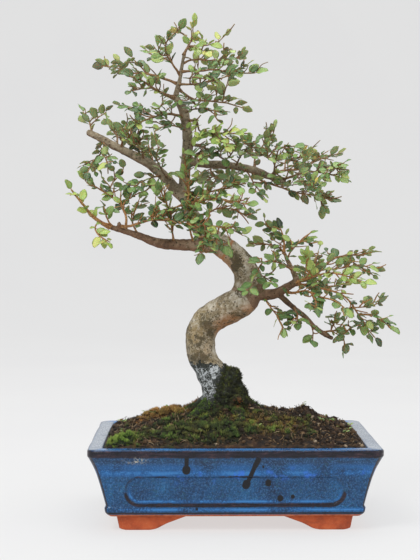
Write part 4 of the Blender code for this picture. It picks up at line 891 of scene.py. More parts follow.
def tint(code):
    """A linear colour from a six-digit screen colour."""
    parts = [int(code[index:index + 2], 16) / 255 for index in (0, 2, 4)]
    linear = [part / 12.92 if part <= 0.04045 else ((part + 0.055) / 1.055) ** 2.4 for part in parts]
    return (*linear, 1.0)


class Level:
    """A number that a material's nodes work out at every point, for use in plain sums."""

    def __init__(self, shade, socket):
        self.shade = shade
        self.socket = socket

    def __add__(self, other):
        return self.shade.math("ADD", self, other)

    def __radd__(self, other):
        return self.shade.math("ADD", other, self)

    def __sub__(self, other):
        return self.shade.math("SUBTRACT", self, other)

    def __rsub__(self, other):
        return self.shade.math("SUBTRACT", other, self)

    def __mul__(self, other):
        return self.shade.math("MULTIPLY", self, other)

    def __abs__(self):
        return self.shade.math("ABSOLUTE", self)


class Shade:
    """A material and short calls that add its nodes."""

    def __init__(self, name, roughness=0.6):
        self.material = bpy.data.materials.new(name)
        self.material.use_nodes = True
        self.nodes = self.material.node_tree.nodes
        self.links = self.material.node_tree.links
        self.shader = self.nodes["Principled BSDF"]
        self.shader.inputs["Roughness"].default_value = roughness
        self.place = self.nodes.new("ShaderNodeTexCoord").outputs["Object"]

    def feed(self, socket, value):
        """Link or set one input from a level, another node's socket, a colour code or a plain number."""
        if isinstance(value, Level):
            value = value.socket
        if isinstance(value, bpy.types.NodeSocket):
            self.links.new(value, socket)
        elif isinstance(value, str):
            socket.default_value = tint(value)
        else:
            socket.default_value = value

    def set(self, **values):
        for name, value in values.items():
            self.feed(self.shader.inputs[name.replace("_", " ")], value)

    def stretched(self, x, y, z):
        node = self.nodes.new("ShaderNodeMapping")
        node.inputs["Scale"].default_value = (x, y, z)
        self.links.new(self.place, node.inputs["Vector"])
        return node.outputs["Vector"]

    def noise(self, scale, detail=3.0, roughness=0.55, vector=None, distortion=0.0):
        node = self.nodes.new("ShaderNodeTexNoise")
        self.links.new(vector or self.place, node.inputs["Vector"])
        node.inputs["Scale"].default_value = scale
        node.inputs["Detail"].default_value = detail
        node.inputs["Roughness"].default_value = roughness
        node.inputs["Distortion"].default_value = distortion
        return Level(self, node.outputs["Fac"])

    def cells(self, scale, feature="F1"):
        node = self.nodes.new("ShaderNodeTexVoronoi")
        node.feature = feature
        self.links.new(self.place, node.inputs["Vector"])
        node.inputs["Scale"].default_value = scale
        return Level(self, node.outputs["Distance"])

    def axes(self, scale):
        """The place on the object as three numbers, in a unit that is scale times finer than a metre."""
        node = self.nodes.new("ShaderNodeSeparateXYZ")
        self.links.new(self.place, node.inputs["Vector"])
        return [Level(self, node.outputs[axis]) * scale for axis in "XYZ"]

    def bell(self, value, middle, reach):
        """1 where a value is at its middle, falling to 0 at its reach."""
        return self.range(abs(value - middle), 0.0, reach, 1.0, 0.0)

    def value(self, name):
        """A number that was painted on the piece."""
        node = self.nodes.new("ShaderNodeAttribute")
        node.attribute_name = name
        return Level(self, node.outputs["Fac"])

    def range(self, value, low, high, out_low=0.0, out_high=1.0):
        """A level that goes softly from out_low to out_high while the value goes from low to high."""
        node = self.nodes.new("ShaderNodeMapRange")
        node.interpolation_type = "SMOOTHSTEP"
        self.feed(node.inputs["Value"], value)
        for index, number in zip((1, 2, 3, 4), (low, high, out_low, out_high)):
            node.inputs[index].default_value = number
        return Level(self, node.outputs["Result"])

    def math(self, operation, a, b=0.0):
        node = self.nodes.new("ShaderNodeMath")
        node.operation = operation
        self.feed(node.inputs[0], a)
        self.feed(node.inputs[1], b)
        return Level(self, node.outputs[0])

    def most(self, a, b):
        return self.math("MAXIMUM", a, b)

    def least(self, a, b):
        return self.math("MINIMUM", a, b)

    def mix(self, share, a, b):
        node = self.nodes.new("ShaderNodeMix")
        node.data_type = "RGBA"
        self.feed(node.inputs["Factor"], share)
        self.feed(node.inputs[6], a)
        self.feed(node.inputs[7], b)
        return node.outputs[2]

    def ramp(self, value, stops):
        node = self.nodes.new("ShaderNodeValToRGB")
        self.feed(node.inputs["Fac"], value)
        row = node.color_ramp.elements
        while len(row) < len(stops):
            row.new(0.5)
        for element, (position, code) in zip(row, stops):
            element.position = position
            element.color = tint(code)
        return node.outputs["Color"]

    def bump(self, height, strength, distance):
        node = self.nodes.new("ShaderNodeBump")
        node.inputs["Strength"].default_value = strength
        node.inputs["Distance"].default_value = distance
        self.feed(node.inputs["Height"], height)
        if self.shader.inputs["Normal"].is_linked:
            self.links.new(self.shader.inputs["Normal"].links[0].from_socket, node.inputs["Normal"])
        self.links.new(node.outputs["Normal"], self.shader.inputs["Normal"])


def fillet(points, reach, steps):
    """Cut the corners of an open outline and put short curves in."""
    out = [points[0]]
    for before, here, after in zip(points, points[1:], points[2:]):
        before, here, after = (np.array(point, float) for point in (before, here, after))
        back = before - here
        ahead = after - here
        back_length = np.linalg.norm(back)
        ahead_length = np.linalg.norm(ahead)
        cut = min(reach, back_length * 0.48, ahead_length * 0.48)
        start = here + back / back_length * cut
        end = here + ahead / ahead_length * cut
        for step in range(steps + 1):
            t = step / steps
            out.append(tuple(start * (1 - t) ** 2 + here * 2 * t * (1 - t) + end * t * t))
    out.append(points[-1])
    return out


def resample(points, longest):
    out = [points[0]]
    for a, b in zip(points, points[1:]):
        length = math.hypot(b[0] - a[0], b[1] - a[1])
        if length < 1e-6:
            continue
        pieces = max(1, math.ceil(length / longest))
        for piece in range(1, pieces + 1):
            t = piece / pieces
            out.append((a[0] + (b[0] - a[0]) * t, a[1] + (b[1] - a[1]) * t))
    return out


def perimeter(length, width, corner, along_steps, across_steps, corner_steps):
    """Ring points in millimetres round a rounded rectangle, with its outward directions."""
    half_x = length / 2 - corner
    half_y = width / 2 - corner
    ring = []
    turns = [
        ((half_x, half_y), 0, (-half_x, half_y), along_steps),
        ((-half_x, half_y), 90, (-half_x, -half_y), across_steps),
        ((-half_x, -half_y), 180, (half_x, -half_y), along_steps),
        ((half_x, -half_y), 270, (half_x, half_y), across_steps),
    ]
    for (x, y), start, (next_x, next_y), steps in turns:
        for step in range(corner_steps + 1):
            angle = math.radians(start + 90 * step / corner_steps)
            nx, ny = math.cos(angle), math.sin(angle)
            ring.append((x + corner * nx, y + corner * ny, nx, ny))
        angle = math.radians(start + 90)
        nx, ny = math.cos(angle), math.sin(angle)
        for step in range(1, steps):
            t = step / steps
            ring.append((x + (next_x - x) * t + corner * nx, y + (next_y - y) * t + corner * ny, nx, ny))
    return np.array(ring)


def stadium_distance(along, up, length, height, corner):
    """Distance outside a round-ended panel outline, negative inside, in millimetres."""
    over_x = np.abs(along) - (length / 2 - corner)
    over_z = np.abs(up) - (height / 2 - corner)
    outside = np.hypot(np.maximum(over_x, 0), np.maximum(over_z, 0))
    return outside + np.minimum(np.maximum(over_x, over_z), 0) - corner


# Dark glaze runs and drops on the front wall: start x and z, end x and z, radius, in millimetres
GLAZE_RUNS = [
    (-41.0, 64.5, -41.3, 55.0, 1.8), (-41.3, 55.0, -41.4, 53.4, 3.4),
    (19.0, 63.5, 16.5, 58.0, 2.3), (16.5, 58.0, 9.8, 41.0, 1.9), (9.6, 41.8, 9.0, 39.8, 3.3),
    (23.2, 57.6, 23.2, 56.6, 0.9), (27.8, 42.8, 27.8, 41.4, 2.5), (38.2, 28.8, 38.2, 28.0, 2.5),
    (48.8, 30.0, 48.8, 29.6, 1.7), (-32.5, 19.6, -32.4, 19.2, 1.0),
]


def panel_distance(shade, x, y, z):
    """Distance in millimetres outside the nearest wall panel's outline, negative inside it."""
    radius = PANEL_HEIGHT / MM * PANEL_END_SHARE
    ends = shade.value("ends")
    length_x = abs(x) - (PANEL_LENGTH_FRONT / MM / 2 - radius)
    length_y = abs(y) - (PANEL_LENGTH_END / MM / 2 - radius)
    gap = length_y - length_x
    over = length_x + gap * ends
    up = abs(z - PANEL_MIDDLE / MM)
    over_up = up - (PANEL_HEIGHT / MM / 2 - radius)
    out_a = shade.most(over, 0.0)
    out_b = shade.most(over_up, 0.0)
    square = out_a * out_a + out_b * out_b
    inner = shade.least(shade.most(over, over_up), 0.0)
    return shade.math("SQRT", square) + inner - radius


def run_share(shade, x, z, run):
    """1 inside one run of dark glaze, from its start to its end, and 0 outside it."""
    start_x, start_z, end_x, end_z, radius = run
    go_x, go_z = end_x - start_x, end_z - start_z
    square = max(go_x ** 2 + go_z ** 2, 1e-6)
    from_x = x - start_x
    from_z = z - start_z
    along_x = from_x * (go_x / square)
    share = along_x + from_z * (go_z / square)
    share = shade.least(shade.most(share, 0.0), 1.0)
    off_x = from_x - share * go_x
    off_z = from_z - share * go_z
    away = shade.math("SQRT", off_x * off_x + off_z * off_z)
    return shade.range(away, radius - 0.35, radius + 0.35, 1.0, 0.0)


def blue_ground(shade, cloud, streak, waved, fleck):
    """Mottled dark blue glaze with light, dark and green specks."""
    mottle = cloud * 0.45 + streak * 0.55
    blue = shade.ramp(mottle, [(0.30, "0d2a4a"), (0.45, "153f68"), (0.58, "1c5482"), (0.74, "2a6c9c")])
    blue = shade.mix(shade.bell(waved, 60.5, 5.5) * 0.7, blue, "26364a")
    blue = shade.mix(fleck * 0.5, blue, "477cb2")
    dark_speck = shade.noise(640, 3.0, 0.75, shade.stretched(1.0, 1.0, 0.9))
    blue = shade.mix(shade.range(dark_speck, 0.49, 0.61, 0.0, 0.62), blue, "101c32")
    green = shade.range(shade.noise(300, 3.0, 0.7), 0.54, 0.66)
    return shade.mix(green * 0.2, blue, "3a7580")


def blue_pools(shade, blue, cloud, fleck, waved, z, edge, upper, outside):
    """Bright blue where glaze gathers: below the rim, along the panels' lower edge and on the base band."""
    lower = 1.0 - upper
    pool = shade.bell(waved, 51.5, 5.0) * 0.85
    pool = shade.most(pool, shade.bell(waved, 57, 6.0) * 0.5)
    inner_line = shade.bell(edge, -2.4, 2.0)
    pool = shade.most(pool, inner_line * (0.15 + lower * 0.8))
    pool = shade.most(pool, shade.bell(z, 18.8, 2.0) * 0.9)
    pool = pool * outside
    pool = shade.most(pool, shade.value("ledge"))
    patchy = shade.range(cloud + fleck * 0.12, 0.36, 0.6)
    pool = pool * patchy
    blue = shade.mix(pool, blue, "2468ac")
    blue = shade.mix(shade.range(pool, 0.55, 0.95, 0.0, 0.45), blue, "4a90cc")
    bright = shade.range(shade.noise(64, 3.0, 0.6), 0.56, 0.68) * shade.bell(z, 49, 11.0)
    bright = bright * outside
    return shade.mix(bright * 0.8, blue, "3470d6")


def brown_breaks(shade, blue, cloud, uneven, speck, z, edge, upper, outside):
    """Dark brown where glaze is thin: on the rim, round the panels, up the corners and at the base."""
    lower = 1.0 - upper
    thin = shade.bell(z, 68.0, 5.6) * 1.3
    top_line = shade.bell(edge, 0.6, 2.2) * upper * shade.range(cloud, 0.42, 0.62, 0.25, 0.75)
    low_line = shade.bell(edge, 0.8, 3.0) * lower * 1.15
    thin = shade.most(thin, shade.most(top_line, low_line))
    thin = shade.most(thin, shade.bell(z, 15.6, 1.7) * 1.1)
    thin = shade.most(thin, shade.value("upright"))
    thin = thin * outside
    rusty = shade.noise(300, 4.0, 0.7, shade.stretched(0.3, 0.3, 1.6))
    brown = shade.ramp(rusty, [(0.34, "09090f"), (0.5, "191521"), (0.62, "34262e"), (0.74, "5a3f3e")])
    thin_edge = thin + uneven * 1.1
    thin_edge = thin_edge + (speck - 0.5) * 1.2
    return shade.mix(shade.range(thin_edge, 0.36, 0.78), blue, brown)


def runs_and_cracks(shade, colour, cloud, x, y, z, outside):
    """Dark runs on the front wall, a crackled spot near its left end and pale wear on the rim's ends."""
    front = shade.math("LESS_THAN", y, -60.0) * outside
    drip = 0.0
    for run in GLAZE_RUNS:
        drip = shade.most(run_share(shade, x, z, run), drip)
    colour = shade.mix(drip * front, colour, "0c0d13")
    crackle = shade.range(shade.cells(420, feature="DISTANCE_TO_EDGE"), 0.02, 0.09, 1.0, 0.0)
    spot = shade.bell(x, -84, 14) * shade.bell(z, 62.5, 4.5)
    cracked = spot * front * shade.range(cloud, 0.4, 0.5)
    colour = shade.mix(crackle * cracked, colour, "b9b6a8")
    pale = shade.value("pale") * shade.range(cloud, 0.2, 0.5, 0.45, 0.95)
    return shade.mix(pale, colour, "8f99a6")


def glaze_material():
    shade = Shade("glaze", 0.2)
    x, y, z = shade.axes(1 / MM)
    outside = shade.value("outside")
    cloud = shade.noise(38, 3.0, 0.6)
    streak = shade.noise(46, 4.0, 0.6, shade.stretched(1.0, 1.0, 0.16))
    uneven = streak - 0.5
    waved = z + (cloud - 0.5) * 4.0
    speck = shade.noise(760, 3.0, 0.75)
    fleck = shade.range(speck, 0.50, 0.60)
    edge = panel_distance(shade, x, y, z)
    upper = shade.range(z, PANEL_MIDDLE / MM - 6, PANEL_MIDDLE / MM + 4)
    colour = blue_ground(shade, cloud, streak, waved, fleck)
    colour = blue_pools(shade, colour, cloud, fleck, waved, z, edge, upper, outside)
    colour = brown_breaks(shade, colour, cloud, uneven, speck, z, edge, upper, outside)
    colour = runs_and_cracks(shade, colour, cloud, x, y, z, outside)
    clay = shade.ramp(shade.noise(160, 4.0, 0.6), [(0.3, "8f4526"), (0.55, "b5603a"), (0.8, "cc7d50")])
    bare = shade.value("bare") + uneven * 0.4
    bare_share = shade.range(bare, 0.42, 0.58)
    colour = shade.mix(bare_share, colour, clay)
    shade.set(Base_Color=colour)
    rough = shade.range(speck, 0.3, 0.7, 0.14, 0.32)
    shade.set(Roughness=rough + bare_share * 0.55)
    shade.set(Specular_IOR_Level=0.32, Coat_Weight=0.12, Coat_Roughness=0.12)
    shade.bump(shade.noise(420, 3.0, 0.6), 0.10, 0.0006)
    shade.bump(speck, 0.08, 0.0003)
    return shade.material


def terracotta_material():
    shade = Shade("terracotta", 0.82)
    cloud = shade.noise(70, 4.0, 0.6)
    colour = shade.ramp(cloud, [(0.28, "84351a"), (0.5, "b04d25"), (0.7, "bf5f33"), (0.85, "cc7a4e")])
    grain = shade.range(shade.noise(1400, 2.0, 0.7), 0.55, 0.7)
    colour = shade.mix(grain * 0.35, colour, "cf8d62")
    dirt = shade.range(shade.noise(45, 3.0, 0.6, shade.stretched(1, 1, 2.5)), 0.56, 0.74)
    colour = shade.mix(dirt * 0.5, colour, "5d3626")
    shade.set(Base_Color=colour)
    shade.bump(shade.noise(900, 3.0, 0.6), 0.25, 0.0004)
    return shade.material


def pot_outline():
    """Heights and insets up the wall, over the rim and down inside, with rounded edges and short steps."""
    base = fillet(POT_PROFILE[:6], BASE_ROUNDING, 4)
    wall = fillet(POT_PROFILE[4:11], WALL_ROUNDING, 5)
    rim = fillet(POT_PROFILE[9:17], RIM_ROUNDING, 5)
    fine = [point for point in base if point[0] < WALL_FROM]
    wall_start = next(i for i, (z, _) in enumerate(wall) if z > WALL_FROM)
    fine += [point for point in wall[wall_start:] if point[0] < RIM_FROM]
    fine += rim[next(i for i, (z, _) in enumerate(rim) if z > RIM_FROM):]
    fine = resample(fine, POT_ROW_STEP)
    inside_from = next(i for i, (_, inset) in enumerate(fine) if inset > 12.95 and i > 40)
    return fine[:inside_from] + POT_INSIDE


def run_relief(x, z):
    """How far each place on the front wall lies in a run of dark glaze, 0 to 1."""
    drip = np.zeros(len(x))
    for start_x, start_z, end_x, end_z, radius in GLAZE_RUNS:
        run = np.array([end_x - start_x, end_z - start_z])
        gap = np.column_stack([x - start_x, z - start_z])
        share = np.clip(gap @ run / max(run @ run, 1e-6), 0, 1)
        away = np.hypot(*(gap - share[:, None] * run).T)
        drip = np.maximum(drip, 1 - smoothstep(radius - 0.5, radius + 0.5, away))
    return drip


def make_pot_body(materials):
    """The pot's skin with rounded edges, walls with sunk panels and the relief of its glaze."""
    fine = pot_outline()
    rows = []
    insets = []
    for z, inset in fine:
        corner = max(9.0 - inset * 0.35, 4.0)
        ring = perimeter(POT_LENGTH / MM - 2 * inset, POT_WIDTH / MM - 2 * inset, corner, *POT_STEPS)
        rows.append(np.column_stack([ring[:, :2], np.full(len(ring), z), ring[:, 2:]]))
        insets.append(np.full(len(ring), inset))
    data = np.concatenate(rows)
    inset = np.concatenate(insets)
    x, y, z, nx, ny = data.T
    outer = np.repeat(np.arange(len(fine)), len(rows[0]))
    top_row = max(i for i, (_, gap) in enumerate(fine) if gap < 1.0)
    outside = outer <= top_row
    front = np.abs(ny) > 0.95
    corner_radius = PANEL_HEIGHT / MM * PANEL_END_SHARE
    up = z - PANEL_MIDDLE / MM
    long_panel = stadium_distance(x, up, PANEL_LENGTH_FRONT / MM, PANEL_HEIGHT / MM, corner_radius)
    short_panel = stadium_distance(y, up, PANEL_LENGTH_END / MM, PANEL_HEIGHT / MM, corner_radius)
    edge = np.where(front, long_panel, short_panel)
    edge = np.where((np.maximum(np.abs(nx), np.abs(ny)) > 0.95) & outside & (z > 21.8), edge, 9.0)
    depth = 1.7 * (1 - smoothstep(-0.9, 0.7, edge)) - 0.35 * np.exp(-((edge - 1.3) / 0.8) ** 2)
    place = np.column_stack([x, y, z])
    wobble = ROUGH.layers(place / 34, 2) * 0.35 + ROUGH(place / 7) * 0.06
    drip = np.where(outside & (ny < -0.9), run_relief(x, z), 0)
    push = np.where(outside, wobble * smoothstep(14.5, 18, z) - depth + drip * 0.45, 0)
    place[:, 0] += nx * push
    place[:, 1] += ny * push
    rim_wave = ROUGH(np.column_stack([x / 40, y / 40, np.zeros(len(x))])) * 0.35
    place[:, 2] += np.where(z > 69, rim_wave, 0)
    faces = closed_faces(len(fine), len(rows[0]))
    item = make_piece("pot_body", place * MM, faces, materials, replaced=["pot"], slot="pot_glaze")
    corners = np.exp(-((np.maximum(np.abs(nx), np.abs(ny)) - 0.76) / 0.13) ** 2)
    ledge = 0.95 * ((z > 70.6) & (np.abs(ny) > 0.5) & (inset > 2.2) & (inset < 13))
    worn = smoothstep(0.6, 2.6, inset) * smoothstep(13.2, 11.6, inset)
    bare = 1 - smoothstep(13.6, 15.0, z)
    marks = {
        "outside": outside.astype(float), "ends": (np.abs(nx) > np.abs(ny)).astype(float),
        "upright": 0.85 * corners * outside * smoothstep(14, 18, z), "ledge": ledge,
        "pale": (z > 70.4) * (np.abs(nx) > 0.7) * worn,
        "bare": np.where(outside, bare, smoothstep(66.0, 62.0, z) * (inset > 12.9))}
    for name, values in marks.items():
        paint(item, name, values)
    cut_drains(item)
    return item


def cut_drains(item):
    """Open the two round drain holes in the pot's floor and show bare clay inside them."""
    cutters = []
    for side in (-1, 1):
        mesh = bpy.data.meshes.new("drain")
        bm = bmesh.new()
        bmesh.ops.create_cone(
            bm, cap_ends=True, segments=40, radius1=DRAIN_RADIUS, radius2=DRAIN_RADIUS, depth=0.025)
        bm.to_mesh(mesh)
        bm.free()
        cutter = bpy.data.objects.new("drain", mesh)
        cutter.location = (side * DRAIN_X, 0, POT_FLOOR - 0.004)
        bpy.context.scene.collection.objects.link(cutter)
        cut = item.modifiers.new("drain", "BOOLEAN")
        cut.object = cutter
        cutters.append(cutter)
    bpy.context.view_layer.update()
    evaluated = item.evaluated_get(bpy.context.evaluated_depsgraph_get())
    opened = bpy.data.meshes.new_from_object(evaluated)
    item.modifiers.clear()
    item.data = opened
    for cutter in cutters:
        bpy.data.objects.remove(cutter)
    x, y, _ = vertex_array(opened).T
    in_drain = np.hypot(np.abs(x) - DRAIN_X, y) < DRAIN_RADIUS * 1.02
    bare = opened.attributes["bare"].data
    values = np.empty(len(x), np.float32)
    bare.foreach_get("value", values)
    bare.foreach_set("value", np.where(in_drain, 1.0, values).astype(np.float32))


def foot_span(height):
    """Where a foot starts and ends along X at a height, in millimetres from the pot's middle."""
    lowest = FOOT_OUTLINE[4:6]
    inner = [lowest[0]] + FOOT_OUTLINE[3::-1]
    outer = FOOT_OUTLINE[5:]
    span = []
    for side in (inner, outer):
        heights = [z for _, z in side]
        span.append(float(np.interp(height, heights, [x for x, _ in side])))
    return span


def make_feet(material):
    """Four bare clay feet with rounded edges, whose inner ends sweep up to the pot."""
    heap = Heap()
    depth = FOOT_DEPTH / MM
    for sign_x in (-1, 1):
        for sign_y in (-1, 1):
            middle_y = sign_y * (FOOT_FRONT / MM - depth / 2)
            points = []
            for z in FOOT_ROWS:
                start, end = foot_span(z)
                pull = 1.4 * (1 - min(z / 1.6, 1.0)) ** 2
                size_x = end - start - (0.6 if z < 0.3 else 0.0)
                ring = perimeter(size_x, depth - 0.6 - 2 * pull, 3.6, 26, 8, 5)
                middle_x = sign_x * (start + end) / 2
                spot = np.column_stack([ring[:, 0] + middle_x, ring[:, 1] + middle_y, np.full(len(ring), z)])
                spot[:, :2] += ring[:, 2:] * (ROUGH(spot / 9) * 0.22)[:, None] * min(z / 2, 1)
                points.append(spot)
            faces = closed_faces(len(FOOT_ROWS), len(points[0]))
            heap.add(np.concatenate(points).tolist(), faces)
    item = heap.piece("pot_feet", [material], replaced=["pot"], slot="pot_glaze")
    item.data.set_sharp_from_angle(angle=math.radians(50))
    return item


def soil_height(x, y):
    """Height of the rough soil at places in millimetres."""
    base = np.array([mound(a * MM, b * MM) / MM for a, b in zip(x, y)])
    inner = np.minimum(111.7 - np.abs(x), 79.2 - np.abs(y))
    calm = smoothstep(0.0, 9.0, inner)
    flat = np.column_stack([x, y, np.zeros(len(x))])
    lumps = ROUGH.layers(flat / 11, 2) * 1.4 + ROUGH.layers(flat / 4.2, 2) * 1.2
    lumps += np.abs(ROUGH(flat / 2.2)) * 0.8
    away = np.hypot(x + 7, y * 1.05)
    flare = 5.5 * np.exp(-((away - 20) / 9.0) ** 2) * (1 + 0.5 * ROUGH(flat / 9))
    ridge_x = np.clip(x, -86, -26)
    ridge_y = -4 + 0.16 * (x + 50)
    ridge = 2.6 * np.exp(-((x - ridge_x) / 7) ** 2 - ((y - ridge_y) / 6.5) ** 2)
    hump = 4.4 * np.exp(-((x - 66) / 8.0) ** 2 - ((y - 4) / 13.0) ** 2) * (1 + 0.7 * ROUGH(flat / 4.5 + 2))
    return base + (lumps + flare + ridge + hump) * calm


def moss_share(x, y):
    """How much the soil is grown over with moss, 0 to 1, and how dry that moss is."""
    flat = np.column_stack([x, y, np.zeros(len(x))])
    patchy = ROUGH.layers(flat / 15 + 3.1, 3) + 0.25
    front = np.exp(-((x + 38) / 40) ** 4 - ((y + 50) / 26) ** 4)
    corner = np.exp(-((x + 92) / 17) ** 4 - ((y + 60) / 15) ** 4)
    by_trunk = np.exp(-((x + 18) / 16) ** 2 - ((y + 24) / 14) ** 2)
    right = 0.85 * np.exp(-((x - 32) / 40) ** 4 - ((y + 40) / 24) ** 4)
    back = 0.8 * np.exp(-((x + 20) / 70) ** 4 - ((y - 48) / 20) ** 4)
    ridge = np.exp(-((x + 60) / 34) ** 4 - ((y + 2 - 0.16 * (x + 50)) / 12) ** 4)
    growth = np.maximum.reduce([front, corner, by_trunk, right, back, ridge]) * 1.25 + patchy * 0.5
    dry = np.maximum(ridge * 1.3 - front * 0.5 - by_trunk * 0.8, 0.5 * right)
    dry = dry + 0.35 * ROUGH.layers(flat / 9 + 7.7, 2)
    return smoothstep(0.35, 1.0, growth), np.clip(dry, 0, 1)


def soil_material():
    shade = Shade("soil", 0.95)
    lump = shade.noise(160, 4.0, 0.65)
    grit = shade.noise(620, 3.0, 0.7)
    colour = shade.ramp(lump, [(0.30, "0c0806"), (0.45, "1f160e"), (0.58, "3c2b1b"), (0.72, "614a2f")])
    crumb = shade.range(grit, 0.50, 0.68)
    colour = shade.mix(crumb * 0.4, colour, "604a30")
    # Painted shade: near-black soil in noise-placed patches stands in for the shadow in the soil's deep
    # pockets.
    colour = shade.mix(shade.value("painted_pit_shade"), colour, "0a0705")
    rust = shade.range(shade.noise(48, 3.0, 0.6), 0.52, 0.70)
    colour = shade.mix(rust * 0.35, colour, "55301a")
    moss = shade.value("moss") * shade.range(shade.noise(300, 3.0, 0.6), 0.36, 0.6)
    green = shade.ramp(shade.noise(210, 3.0, 0.6), [(0.32, "161c08"), (0.55, "303d0e"), (0.75, "52631a")])
    colour = shade.mix(moss, colour, shade.mix(shade.value("dry"), green, "9a6a2c"))
    shade.set(Base_Color=colour)
    shade.bump(grit, 0.6, 0.0012)
    shade.bump(shade.noise(1500, 2.0, 0.6), 0.35, 0.0005)
    return shade.material


def crumb_material():
    shade = Shade("soil_crumbs", 0.92)
    tone = shade.value("tone")
    colour = shade.ramp(tone, [
        (0.0, "0c0805"), (0.3, "22180f"), (0.5, "3f2d1c"), (0.66, "614a31"), (0.8, "83694a"),
        (0.93, "b5ad9c")])
    colour = shade.mix(shade.range(shade.noise(700, 3.0, 0.7), 0.45, 0.7, 0.0, 0.5), colour, "241a12")
    shade.set(Base_Color=colour)
    shade.bump(shade.noise(1300, 3.0, 0.6), 0.4, 0.0004)
    return shade.material


def moss_material():
    shade = Shade("moss", 0.85)
    tone = shade.value("tone")
    green = shade.ramp(
        tone, [(0.0, "0e1309"), (0.3, "1c2810"), (0.55, "354a18"), (0.8, "5f7f2b"), (1.0, "98ab48")])
    dry = shade.ramp(tone, [(0.0, "21160d"), (0.35, "4f361b"), (0.65, "8a602f"), (1.0, "cb9a58")])
    colour = shade.mix(shade.value("dry"), green, dry)
    dapple = shade.range(shade.noise(520, 2.0, 0.6), 0.42, 0.66, 0.0, 0.4)
    colour = shade.mix(dapple, colour, "1a1d0a")
    shade.set(Base_Color=colour)
    shade.bump(shade.noise(1400, 2.0, 0.6), 0.25, 0.0004)
    return shade.material


def litter_material():
    shade = Shade("litter", 0.8)
    colour = shade.ramp(shade.value("tone"), [
        (0.0, "1c120b"), (0.35, "3b2818"), (0.6, "60462c"), (0.85, "907552"), (1.0, "bba987")])
    colour = shade.mix(shade.range(shade.noise(900, 2.0, 0.6), 0.45, 0.7, 0.0, 0.4), colour, "35261a")
    shade.set(Base_Color=colour)
    shade.bump(shade.noise(1600, 2.0, 0.6), 0.3, 0.0003)
    return shade.material


def bed_top():
    """Points of the rough soil's top on a grid, with its corners drawn in to a round."""
    straight_x = BED_HALF_LENGTH - BED_CORNER
    straight_y = BED_HALF_WIDTH - BED_CORNER
    along = np.linspace(-BED_HALF_LENGTH, BED_HALF_LENGTH, BED_COLUMNS)
    across = np.linspace(-BED_HALF_WIDTH, BED_HALF_WIDTH, BED_ROWS)
    x, y = (grid.ravel() for grid in np.meshgrid(along, across))
    over_x = np.maximum(np.abs(x) - straight_x, 0)
    over_y = np.maximum(np.abs(y) - straight_y, 0)
    reach = np.hypot(over_x, over_y)
    pull = np.where(reach > BED_CORNER, BED_CORNER / np.maximum(reach, 1e-6), 1.0)
    x = np.sign(x) * (np.minimum(np.abs(x), straight_x) + over_x * pull)
    y = np.sign(y) * (np.minimum(np.abs(y), straight_y) + over_y * pull)
    return np.column_stack([x, y, soil_height(x, y)])


def make_soil_bed(material):
    """The packed soil as one closed block with a rough, fine-meshed top."""
    count_x, count_y = BED_COLUMNS, BED_ROWS
    top = bed_top()
    faces = []
    for row in range(count_y - 1):
        for column in range(count_x - 1):
            a = row * count_x + column
            faces.append((a, a + 1, a + count_x + 1, a + count_x))
    border = [i for i in range(count_x)]
    border += [row * count_x + count_x - 1 for row in range(1, count_y)]
    border += [(count_y - 1) * count_x + i for i in range(count_x - 2, -1, -1)]
    border += [row * count_x for row in range(count_y - 2, 0, -1)]
    low = top[border].copy()
    low[:, 2] = POT_FLOOR / MM + SCREEN_THICKNESS / MM + 0.6
    low[:, 0] *= 1 - 7.0 / 111.2
    low[:, 1] *= 1 - 7.0 / 78.7
    points = np.concatenate([top, low])
    start = len(top)
    total = len(border)
    for i in range(total):
        j = (i + 1) % total
        faces.append((border[j], border[i], start + i, start + j))
    faces.append(tuple(start + i for i in range(total - 1, -1, -1)))
    item = make_piece("soil_bed", points * MM, faces, [material], replaced=["soil"], slot="soil")
    growth, dry = moss_share(points[:, 0], points[:, 1])
    flat = np.column_stack([points[:, 0], points[:, 1], np.zeros(len(points))])
    paint(item, "moss", growth)
    paint(item, "dry", dry)
    # Painted shade: patches where a soft noise is low, which darken the soil to stand in for shadow in its
    # pockets.
    paint(item, "painted_pit_shade", 0.85 * smoothstep(0.05, -0.45, ROUGH.layers(flat / 3.4, 2)))
    return item


def on_soil(draw, inner=2.5):
    return draw.uniform(-111 + inner, 111 - inner), draw.uniform(-78.6 + inner, 78.6 - inner)


def icosahedron():
    bm = bmesh.new()
    bmesh.ops.create_icosphere(bm, subdivisions=1, radius=1.0)
    points = np.array([vert.co[:] for vert in bm.verts])
    faces = [tuple(vert.index for vert in face.verts) for face in bm.faces]
    bm.free()
    return points, faces


def near_trunk(x, y):
    return math.hypot(x + 7, y) < 24


